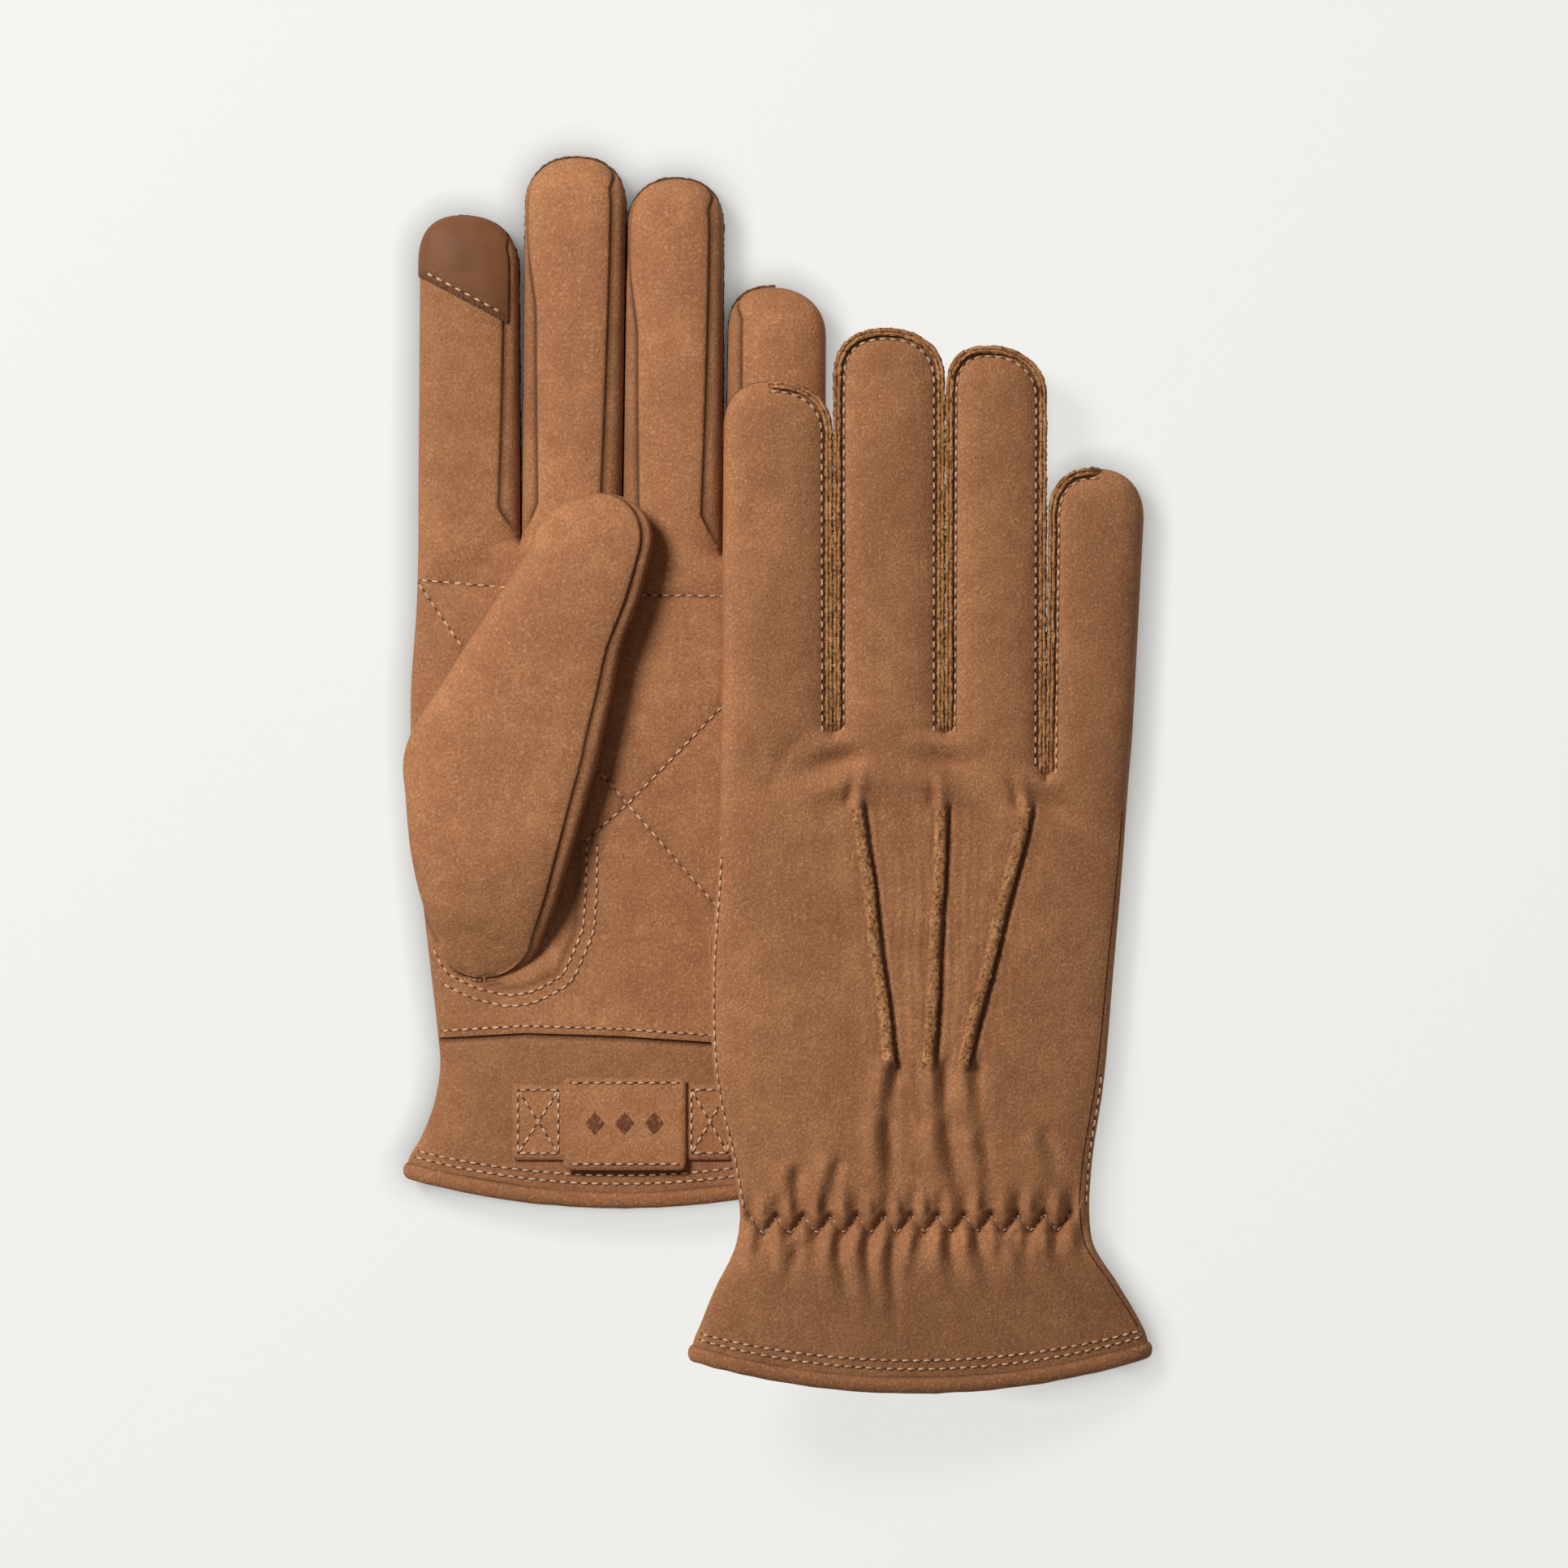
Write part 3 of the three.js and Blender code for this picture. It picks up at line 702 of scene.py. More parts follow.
def finger_grid(glove, finger, angles, shares, inset=0.0):
    """Points on a finger's outer face. angles is a function that gives, for a height, the angles of a
    row. shares are 0 at the crotch line, 1 where the round end begins, 2 at the tip."""
    shape = SHAPES[glove.side][finger]
    cap_start = shape["tip"] - CAP
    rows = []
    for share in shares:
        turn = math.radians(TIP_DEGREES) * max(0.0, share - 1)
        beyond = math.sin(turn) ** (2 / CAP_POWER)
        narrow = math.cos(turn) ** (2 / CAP_POWER)
        nominal = cap_start + CAP * beyond if share > 1 else KNUCKLE + (cap_start - KNUCKLE) * share
        across, upward = superellipse(np.radians(angles(nominal, share)), SECTION_POWER)
        y = np.full_like(across, min(nominal, cap_start))
        for _ in range(3):
            left, right = glove.finger_edges(finger, y)
            x = (left + right) / 2 + across * ((right - left) / 2 - inset)
            if share < 1:
                y = glove.crotch(x) * (1 - share) + cap_start * share
        middle = (left + right) / 2
        x = middle + (x - middle) * narrow + shape["skew"] * beyond**2
        if share > 1:
            y = y + (CAP - inset) * beyond
        half = MIDDLE * np.abs(upward) * narrow
        lift = glove.finger_lift(x, y, upward > 0, half)
        z = MIDDLE + np.sign(upward) * np.maximum(half + lift - inset * np.abs(upward), 0)
        rows.append(np.stack([x, y, z], -1))
    return np.array(rows)


def finger_face(glove, finger, palm):
    """The palm or back face of a finger, as a function of plan points."""
    shape = SHAPES[glove.side][finger]
    cap_start = shape["tip"] - CAP

    def surface(plan):
        x, y = plan[..., 0], plan[..., 1]
        beyond = np.clip((y - cap_start) / CAP, 0, 1)
        narrow = np.clip(1 - beyond**CAP_POWER, 0.01, 1) ** (1 / CAP_POWER)
        left, right = glove.finger_edges(finger, np.minimum(y, cap_start))
        middle = (left + right) / 2 + shape["skew"] * beyond**2
        across = (x - middle) / ((right - left) / 2 * narrow)
        half = MIDDLE * narrow * profile(np.clip(across, -1, 1))
        lift = glove.finger_lift(x, y, palm, half)
        return np.stack([x, y, MIDDLE + (half + lift if palm else -half - lift)], -1)
    return surface


def seam_angles(glove, finger):
    """Angles of the palm and back seams by height, on a seamed side: they meet at the tip. The palm
    seam on the side towards the index finger rolls out of sight in the finger's upper part."""
    tip = SHAPES[glove.side][finger]["tip"]

    def palm_seam(y, share, seam=1):
        open_part = ease((tip - STRIP_END - y) / 7) * math.sqrt(min(1.0, 0.02 + share / 0.1))
        open_part = open_part * (1 + SEAM_WIDENS * max(0.0, 1 - share) ** 1.5)
        rolls = seam < 0 and finger != "pinky"
        rolled = 0.25 + 0.6 * float(ease((tip - 18 - y) / 22)) if rolls else 1
        return SEAM_LEAST + (PALM_SEAM - SEAM_LEAST) * open_part * rolled

    def back_seam(y, share):
        return SEAM_LEAST + (BACK_SEAM - SEAM_LEAST) * ease((tip - STRIP_END - y) / 7)
    return palm_seam, back_seam


def spread(first, last, count):
    """Angles from first to last, closer together at the ends where the edge turns in."""
    t = np.linspace(0, 1, count)
    t = 0.5 * t + 0.5 * (0.5 - 0.5 * np.cos(math.pi * t))
    return first + (last - first) * t


def finger_panel(glove, finger, bounds, count, shares):
    """(points, faces, painted shade) of a sewn panel of a finger: its edges turn in to their seams, with
    painted shade where they do. bounds gives the first and last angle for a height."""
    def angles(y, share):
        return spread(*bounds(y, share), count)
    shape = SHAPES[glove.side][finger]
    outer = finger_grid(glove, finger, angles, shares)
    middle_x = np.mean(shape["base"] + shape["cap"])
    axis = np.stack([np.full(outer.shape[:2], middle_x), np.minimum(outer[..., 1], shape["tip"] - CAP),
                     np.full(outer.shape[:2], MIDDLE)], -1)
    dip = seam_dip(outer) * ease(np.asarray(shares) / 0.05)[:, None]
    points, faces = sheet(turn_in(outer, axis, dip), outer - axis)
    return points, faces, both_faces(dip**3)


def finger_shares(glove, finger, last=2.0):
    straight = SHAPES[glove.side][finger]["tip"] - CAP - KNUCKLE
    shares = np.concatenate([np.linspace(0, 1, int(straight / ROW_STEP)), np.linspace(1, 2, CAP_ROWS)[1:]])
    return shares[shares <= last + 1e-9]


def outseam_path(glove, finger, inset, tip_inset):
    """Plan path along the seamed sides and round the tip, inside the outline."""
    shape = SHAPES[glove.side][finger]
    cap_start = shape["tip"] - CAP
    left, right = glove.finger_edges(finger, np.array([cap_start]))
    middle, half = (left + right)[0] / 2, (right - left)[0] / 2
    first = 180 if -1 in shape["seams"] else 96
    last = 0 if 1 in shape["seams"] else 84
    turn = np.radians(np.linspace(first, last, 40))
    across = np.sign(np.cos(turn)) * np.abs(np.cos(turn)) ** (2 / CAP_POWER)
    beyond = np.abs(np.sin(turn)) ** (2 / CAP_POWER)
    round_inset = inset + (tip_inset - inset) * np.sin(turn) ** 2
    arc = np.stack([middle + shape["skew"] * beyond**2 + (half - round_inset) * across,
                    cap_start + (CAP - round_inset) * beyond], -1)
    path = arc[1:-1]
    for side in shape["seams"]:
        edge = glove.finger_edges(finger, np.array([KNUCKLE]))[0 if side < 0 else 1][0]
        y = np.linspace(float(glove.crotch(edge)) - SEAM_RUNS_DOWN, cap_start, 60)
        x = glove.finger_edges(finger, y)[0 if side < 0 else 1] - side * inset
        straight = np.stack([x, y], -1)
        path = np.concatenate([straight, path]) if side < 0 else np.concatenate([path, straight[::-1]])
    return path


# Section of two raw leather edges sewn together: across and height, the groove between them in the middle.
RAW_SECTION = [(-1.0, -2.8), (-1.06, -0.5), (-0.86, -0.08), (-0.5, 0.04), (-0.16, -0.06), (0, -0.3),
               (0.16, -0.06), (0.5, 0.04), (0.86, -0.08), (1.06, -0.5), (1.0, -2.8)]

# Section of the single rough crest of a tuck.
TUCK_SECTION = [(-1.0, -1.3), (-0.95, -0.5), (-0.7, -0.12), (-0.35, 0.04), (0, 0.1), (0.35, 0.04),
                (0.7, -0.12), (0.95, -0.5), (1.0, -1.3)]


def raw_edge(path, crest, half_width, seed, section=RAW_SECTION, ends=2.5):
    """(points, faces, painted shade) of a ribbon of raw leather along a plan path, which stands out of the
    back with its crest at a height. Its ends taper into the surface. The painted shade is darkest low in its
    groove and down its sides."""
    path = resample(path, RAW_STEP)
    crest = np.interp(np.linspace(0, 1, len(path)), np.linspace(0, 1, len(crest)), crest)
    side = plan_side(path)
    random = np.random.default_rng(seed)
    walked = np.arange(len(path)) * RAW_STEP
    ending = ease(walked / ends) * ease((walked[-1] - walked) / ends)
    points, painted_shade = [], []
    for across, height in section:
        rough = random.normal(0, 0.12, len(path)) + 0.07 * np.sin(walked / 1.9 + random.uniform(0, 6))
        offset = across * half_width * (1 + rough * 0.8)
        level = crest - (height + rough * 0.9 - (1 - ending) * 1.6)
        points.append(np.column_stack([path + side * offset[:, None], level]))
        # painted shade low in the section: in the groove and down the sides
        dark = 0.85 * float(ease(-height / 0.6)) if section is RAW_SECTION else 0.3 * float(ease(-height))
        painted_shade.append(np.full(len(path), dark))
    grid = np.array(points).transpose(1, 0, 2)
    columns = len(section)
    faces = grid_faces(len(path), columns, closed=True)
    last = (len(path) - 1) * columns
    faces += [tuple(range(columns))[::-1], tuple(last + i for i in range(columns))]
    return grid.reshape(-1, 3), faces, np.array(painted_shade).T.ravel()


def build_finger(glove, finger):
    palm_seam, back_seam = seam_angles(glove, finger)
    seams = SHAPES[glove.side][finger]["seams"]
    panels = {}
    if seams == (-1, 1):
        panels["palm"] = (lambda y, v: (palm_seam(y, v), 180 - palm_seam(y, v, -1)), 30)
        panels["back"] = (lambda y, v: (180 + back_seam(y, v), 360 - back_seam(y, v)), 34)
    elif seams == (1,):
        panels["wrap"] = (lambda y, v: (palm_seam(y, v), 360 - back_seam(y, v)), 66)
    else:
        panels["wrap"] = (lambda y, v: (180 + back_seam(y, v), 540 - palm_seam(y, v, -1)), 66)
    for label, (bounds, count) in panels.items():
        points, faces, shade = finger_panel(glove, finger, bounds, count, finger_shares(glove, finger))
        # painted shade on the index finger's side of the left glove
        shade = np.maximum(shade, glove.outer_shade(points[:, 0]))
        add(glove, finger, f"{finger}_{label}_leather", (points, faces), "nubuck", shade,
            [f"{finger}_{label}"])
    strips = {"outer": lambda y, v: (-back_seam(y, v), palm_seam(y, v)),
              "inner": lambda y, v: (180 - palm_seam(y, v, -1), 180 + back_seam(y, v))}
    beyond = ((CAP - STRIP_END) / CAP) ** (CAP_POWER / 2)
    strip_share = 1 + math.degrees(math.asin(beyond)) / TIP_DEGREES
    for seam in seams:
        label = "outer" if seam > 0 else "inner"
        # the side strips between the fingers carry painted shade all over, deepest at their seams
        points, faces, shade = finger_panel(glove, finger, strips[label], 14,
                                            finger_shares(glove, finger, strip_share))
        add(glove, finger, f"{finger}_side_{label}_leather", (points, faces), "nubuck", 0.25 + 0.75 * shade,
            [f"{finger}_fourchette_{label}"])
    build_outseam(glove, finger)
    inner = finger_grid(glove, finger, lambda y, v: np.linspace(0, 360, 25)[:-1],
                        np.linspace(0.06, 1.75, 16), inset=LINING_DEPTH)
    add(glove, finger, f"{finger}_inner_knit", knit_tube(inner), "knit",
        nodes=[f"{finger}_lining"])


def build_outseam(glove, finger):
    """The raw edges that stand along a finger's back seams, and the stitches beside them."""
    path = outseam_path(glove, finger, FLANGE_INSET, FLANGE_INSET if glove.back_up else FLANGE_PEEK)
    points, faces, shade = raw_edge(path, [OUTSEAM_CREST] * 2, FLANGE_HALF, SEED + len(finger))
    add(glove, finger, f"{finger}_raw_outseam", (points, faces), "raw", shade)
    beside = outseam_path(glove, finger, STITCH_INSET, STITCH_INSET)
    sew(glove, finger, f"{finger}_outseam", [(finger_face(glove, finger, False), beside, False)])


# ---- hand ----

def outline_curve(count):
    """Shares across a width from -1 to 1, closer together at the ends."""
    even = np.linspace(-1, 1, count)
    return 0.45 * even + 0.55 * np.sin(even * math.pi / 2)


def hand_grid(glove, low, high, palm, columns, rows):
    """A grid on the hand's face between two lines, each a function of x that gives a station. rows
    is a number of even rows, or their shares of the way."""
    shares = outline_curve(columns)
    grid = []
    for share in np.linspace(0, 1, rows) if isinstance(rows, int) else rows:
        station = np.full(columns, low(0) * (1 - share) + high(0) * share)
        for _ in range(4):
            left, right = glove.edges(station)
            x = (left + right) / 2 + shares * (right - left) / 2
            station = low(x) * (1 - share) + high(x) * share
        grid.append(glove.hand(x, station, palm))
    return np.array(grid)


def line_shade(grid, lines, width):
    """Painted shade close to lines in the plan."""
    shade = np.zeros(grid.shape[:2])
    for line in lines:
        for start, end in zip(line, line[1:]):
            distance = segment_distance(grid[..., 0], grid[..., 1], start, end)[0]
            shade = np.maximum(shade, bump(distance, width))
    return shade


def wrist_line(x):
    return np.interp(x, [p[0] for p in WRIST_SEAM], [p[1] for p in WRIST_SEAM])


def hem_line(x):
    return np.full_like(np.asarray(x, float), HEM_TOP)


def build_hand(glove):
    build_back(glove)
    palm = hand_grid(glove, wrist_line, glove.crotch, True, 110, 120)
    # painted shade along the quilting and the thumb's seat seam, and on the index finger's side of the left
    # glove
    shade = 0.55 * line_shade(palm, QUILTING, 0.45)
    shade = np.maximum(shade, 0.6 * line_shade(palm, [SEAT_SEAM], 0.9))
    shade = np.maximum(shade, glove.outer_shade(palm[..., 0]))
    add(glove, "hand", "palm_leather", sheet(palm, UP), "nubuck", both_faces(shade), ["hand_palm"])

    cuff = hand_grid(glove, hem_line, lambda x: wrist_line(x) + 1.2, True, 100, 42)
    from_wrist = cuff[..., 1] - wrist_line(cuff[..., 0])
    cuff[..., 2] -= CUFF_TUCKS_IN * ease((from_wrist + 3.2) / 3.4)
    # painted shadow where the cuff goes under the palm panel, and the cuffs' painted shade
    shade = np.maximum(bump(from_wrist + 0.3, 0.8), CUFF_SHADE)
    add(glove, "hand", "cuff_leather", sheet(cuff, UP), "nubuck", both_faces(shade), ["cuff_palm"])

    build_tucks(glove)
    build_hem(glove)
    build_hand_inside(glove)
    build_hand_stitches(glove)


def build_back(glove):
    """The back of the hand: fine rows over the gathers, painted shade along the zigzag, a painted shadow
    beside the tucks, and painted shade towards the hem.
    """
    stations = np.concatenate([np.arange(HEM_TOP, 30, 1.1), np.arange(30, 54, 0.4),
                               np.linspace(54, KNUCKLE, 125)])
    rows = (stations - HEM_TOP) / (KNUCKLE - HEM_TOP)
    back = hand_grid(glove, hem_line, glove.crotch, False, 200, rows)
    # painted shade along the sunk zigzag line
    shade = 0.35 * line_shade(back, [zigzag()], 0.6)
    # painted shadow beside each tuck: deep on the side away from the light, a faint line on the other
    for start, end in POINT_LINES:
        _, across, share = segment_distance(back[..., 0], back[..., 1], start, end)
        along = ease(share / 0.03) * ease((1 - share) / 0.03)
        shade = np.maximum(shade, along * np.maximum(0.85 * bump(across + 1.8, 0.5),
                                                     0.4 * bump(across - 1.75, 0.4)))
    # painted shade towards the hem
    shade = np.maximum(shade, CUFF_SHADE * ease((GATHER_Y - 2 - back[..., 1]) / 16))
    add(glove, "hand", "back_leather", sheet(back, -UP), "nubuck", both_faces(shade), ["hand_back"])


def build_tucks(glove):
    """The three raised lines on the back: raw edges of leather sewn in a tuck."""
    edges = []
    for number, line in enumerate(POINT_LINES):
        plan = resample(line, RAW_STEP)
        plan = plan + plan_side(plan) * 0.25 * np.sin(np.arange(len(plan)) * 0.13 + number)[:, None]
        crest = glove.hand_at(plan, False)[:, 2] - 0.12
        edges.append(raw_edge(plan, crest, TUCK_HALF, SEED + 30 + number, TUCK_SECTION, ends=3.5))
    shade = np.concatenate([edge[2] for edge in edges])
    add(glove, "hand", "tuck_edges", joined([edge[:2] for edge in edges]), "raw", shade)


# Section of the hem's roll: station along the hand, and how far it stands out from the hand's face.
HEM_SECTION = [(5.0, -0.9), (4.5, -0.35), (4.05, 0.2), (3.5, 0.55), (2.7, 0.82), (1.8, 0.85), (0.9, 0.6),
               (0.3, 0.1), (0.05, -0.6), (0.25, -1.3), (0.9, -1.8), (2.2, -2.1), (4.4, -2.2), (5.6, -1.8)]


def hand_ring(glove, station, out, count):
    """A closed ring round the hand at a station, standing out from its face by a distance."""
    across, upward = superellipse(ring_angles(count), SECTION_POWER)
    left, right = glove.edges(np.full(count, float(station)))
    x = (left + right) / 2 + across * ((right - left) / 2 + out)
    z = glove.press(x, station, MIDDLE + upward * (MIDDLE + out))
    return np.stack([x, station + bow(x, station), z], -1)


def build_hem(glove):
    rings = np.array([hand_ring(glove, station, out, 220) for station, out in HEM_SECTION])
    rings[..., 1] += 0.10 * ripple(rings[..., 0], rings[..., 1] * 2 + rings[..., 2], 9, SEED + 21)
    count, columns = rings.shape[:2]
    faces = grid_faces(count, columns, closed=True)
    last = (count - 1) * columns
    faces += [(last + i, last + (i + 1) % columns, (i + 1) % columns, i) for i in range(columns)]
    shade = np.zeros((count, columns))
    # painted shade on the rings where the roll folds back against the hand
    shade[:3] = np.array([1, 1, 0.55])[:, None]
    add(glove, "hand", "hem_roll", (rings.reshape(-1, 3), faces), "hem", shade.ravel(), ["cuff_hem"])


def build_hand_inside(glove):
    """The lining, and the elastic tape under the gathers."""
    stations = np.array([3.4, 8, 16, 27, 36, 43, 52, 70, 95, 115, 128, 134])
    depths = LINING_DEPTH + GATHERS_DEPTH * bump(stations - GATHER_Y, 15)
    rings = [hand_ring(glove, station, -depth, 96) for station, depth in zip(stations, depths)]
    add(glove, "hand", "hand_inner_knit", knit_tube(np.array(rings)), "knit",
        nodes=["hand_lining"])
    x = np.linspace(-40, 35, 160)
    band = np.array([glove.hand(x, np.full_like(x, y), False) for y in np.linspace(39.3, 43.9, 9)])
    band[..., 2] += ELASTIC_DEPTH
    add(glove, "hand", "wrist_band", sheet(band, -UP, 0.35), "elastic",
        nodes=["wrist_elastic"])


def edge_row(glove, inset, start, end, right):
    """Plan path beside the hand's outline. inset is a number, or the values at start and end."""
    y = np.linspace(start, end, 60)
    inset = np.linspace(*np.broadcast_to(inset, 2), 60)
    edges = glove.edges(y)
    x = edges[1] - inset if right else edges[0] + inset
    return np.stack([x, y + bow(x, y)], -1)


def hem_row(glove, station):
    left, right = glove.edges(station)
    x = np.linspace(left + 1.2, right - 1.2, 90)
    return np.stack([x, station + bow(x, station)], -1)


def offset_line(line, distance):
    line = resample(line, 1.0)
    return line + plan_side(line) * distance


def build_hand_stitches(glove):
    back = glove.face(False)
    palm = glove.face(True)
    rows = []
    for station in HEM_ROWS:
        rows += [(back, hem_row(glove, station), False), (palm, hem_row(glove, station), True)]
    rows.append((back, edge_row(glove, 0.9, 46, 78, True), False))
    rows.append((back, edge_row(glove, 1.0, 46, 132, False), False))
    left, right = glove.edges(44.0)
    x = np.linspace(left + 1, right - 1, 90)
    rows.append((palm, np.stack([x, wrist_line(x) + 1.7], -1), True))
    for distance in SEAT_ROWS:
        line = offset_line(SEAT_SEAM, distance)
        inside = line[:, 0] > glove.edges(line[:, 1])[0] + 1.2
        rows.append((palm, line[inside], True))
    sew(glove, "hand", "hand", rows)
    sew(glove, "hand", "quilting", [(palm, np.array(line, float), True) for line in QUILTING],
        pitch=2.9, length=2.4)
    build_side_edge(glove)
    sew(glove, "hand", "zigzag", [(back, zigzag(), False)], width=0.8, pitch=2.3, length=1.7, radius=0.17)


def build_side_edge(glove):
    """A painted shadow line where the back's edge lies over the palm, on the little-finger side."""
    parts = []
    for inset, start, end in (((2.6, 1.0), 46, 143), ((1.2, 2.4), 10, 45)):
        points, normals = surface_path(glove.face(False), edge_row(glove, inset, start, end, True))
        parts.append(painted_shadow_strip(points, -normals, 0.5))
    add(glove, "hand", "side_edge", joined(parts), "painted_shade")


# ---- thumb ----

# Outline of the thumb, folded flat on the palm: height, left edge, right edge.
THUMB_OUTLINE = [(57, -39.5, -23.2), (66, -45.1, -19.8), (75, -48.9, -16.2), (86.4, -51.6, -12.7),
                 (102, -53.2, -8.2), (111, -53.7, -5.6), (117, -52.0, -4.4), (127, -45.8, -2.2),
                 (138, -38.9, 0.0), (151, -30.4, 4.6), (163, -22.6, 7.6)]
THUMB_LOW = 13.05
THUMB_HALF = 5.75
THUMB_TIP = 13.4
THUMB_BASE = 9.0
THUMB_LINING = 2.3         # how deep the lining lies inside the thumb
THUMB_SINKS = 4.2           # how far the thumb's base goes down into the palm
FRONT_PANEL = (34, 190)     # the thumb's front panel, degrees round the section


def thumb_grid(first, last, count, rows=90, inset=0.0):
    """Points on the thumb's outer face between two angles round its section."""
    low, high = THUMB_OUTLINE[1][0], THUMB_OUTLINE[-1][0]
    stations = [(math.radians(turn), low, THUMB_BASE) for turn in np.linspace(-86, -8, 12)]
    stations += [(0.0, low + (high - low) * share, 0) for share in np.linspace(0, 1, rows)]
    stations += [(math.radians(turn), high, THUMB_TIP) for turn in np.linspace(8, 87, 16)]
    across, upward = superellipse(np.radians(spread(first, last, count)), SECTION_POWER)
    grid = []
    for turn, y0, cap in stations:
        y = y0 + (cap - inset) * math.sin(turn)
        left, right = (float(smooth_curve(y0, THUMB_OUTLINE, k)) for k in (1, 2))
        narrow = math.cos(turn)
        half_width = ((right - left) / 2 - inset) * narrow
        x = (left + right) / 2 + 0.18 * (y - y0) + across * half_width
        fullness = 0.35 + 0.65 * float(ease((y - 55) / 34))
        half = (THUMB_HALF * fullness - inset) * max(narrow, 0.05) ** 0.8
        relief = 0.22 * ripple(x, y, 34, SEED + 40) + 0.10 * ripple(x, y, 11, SEED + 41)
        middle = THUMB_LOW - THUMB_SINKS * (1 - float(ease((y - 52) / 24))) + THUMB_HALF * fullness
        z = middle + upward * (half + relief * np.abs(upward) * (upward > 0))
        grid.append(np.stack([x, np.full_like(x, y), z], -1))
    return np.array(grid)


def build_thumb(glove):
    first, last = FRONT_PANEL
    for label, start, end, outward in (("front", first, last, UP), ("back", last, first + 360, -UP)):
        outer = thumb_grid(start, end, 46)
        axis = outer.mean(1, keepdims=True)
        axis[..., 2] = THUMB_LOW + THUMB_HALF
        dip = seam_dip(outer)
        # painted shade where the panel's edges turn in to the seam
        add(glove, "thumb", f"thumb_{label}_leather", sheet(turn_in(outer, axis, dip), outward), "nubuck",
            both_faces(dip**3), [f"thumb_{label}"])
    inner = thumb_grid(0, 345, 24, rows=48, inset=THUMB_LINING)
    add(glove, "thumb", "thumb_inner_knit", knit_tube(inner), "knit",
        nodes=["thumb_lining"])


# ---- strap and tab on the cuff ----

def plate(glove, box):
    """(points, distance from the edge) of the top of a plate that lies over the cuff, with rounded
    corners and soft edges."""
    width, depth = (box["right"] - box["left"]) / 2, (box["high"] - box["low"]) / 2
    grid_u, grid_v = np.meshgrid(np.linspace(-1, 1, 70), np.linspace(-1, 1, 26))
    x = grid_u * width
    y = grid_v * depth
    over = np.clip(np.abs(x) - (width - CORNER), 0, None) / CORNER
    y = np.sign(y) * np.minimum(np.abs(y), depth - CORNER * (1 - np.sqrt(np.clip(1 - over**2, 0, 1))))
    edge = np.minimum(width - np.abs(x), depth - np.abs(grid_v * depth))
    plan = np.stack([x + (box["left"] + box["right"]) / 2, y + (box["low"] + box["high"]) / 2], -1)
    top = glove.hand_at(plan, True)
    top[..., 2] += box["rise"] + box["thick"] - 0.45 * np.exp(-edge / 0.45)
    return top, edge


def build_strap(glove):
    for name, node, box, dark in (("strap", "strap", STRAP, 0.5), ("tab", "strap_loop", TAB, 0.4)):
        top, edge = plate(glove, box)
        # painted shade along the edges of the strap and the tab
        shade = both_faces(dark * np.exp(-edge / 0.5))
        add(glove, "hand", f"{name}_leather", sheet(top, UP, box["thick"]), "nubuck", shade, [node])
    rows = []
    on_strap = raised(glove.face(True), STRAP["rise"] + STRAP["thick"])
    for left, right in STRAP_BOXES:
        low, high = STRAP["low"] + 1.7, STRAP["high"] - 1.7
        corners = [(left, low), (right, low), (right, high), (left, high), (left, low)]
        lines = list(zip(corners, corners[1:])) + [(corners[0], corners[2]), (corners[1], corners[3])]
        rows += [(on_strap, np.array(line, float), True) for line in lines]
    on_tab = raised(glove.face(True), TAB["rise"] + TAB["thick"])
    for y in (TAB["low"] + 1.5, TAB["high"] - 1.5):
        rows.append((on_tab, np.array([(TAB["left"] + 1.5, y), (TAB["right"] - 1.5, y)], float), True))
    sew(glove, "hand", "strap", rows)
    build_mark(glove)


def build_mark(glove):
    """A plain pressed mark on the tab: three lozenges in a row."""
    parts = []
    share = np.linspace(-1, 1, 13)
    for centre in MARK_CENTRES:
        u, v = np.meshgrid(share, share)
        x = centre + (u + v) / 2 * MARK_HALF
        y = (TAB["low"] + TAB["high"]) / 2 + (u - v) / 2 * MARK_HALF * 1.15
        face = glove.hand_at(np.stack([x, y], -1), True)
        face[..., 2] += TAB["rise"] + TAB["thick"] + 0.06 - 0.2 * np.maximum(np.abs(u), np.abs(v)) ** 6
        parts.append(sheet(face, UP, 0.3))
    add(glove, "hand", "tab_mark", joined(parts), "pressed")


# ---- touch patch ----

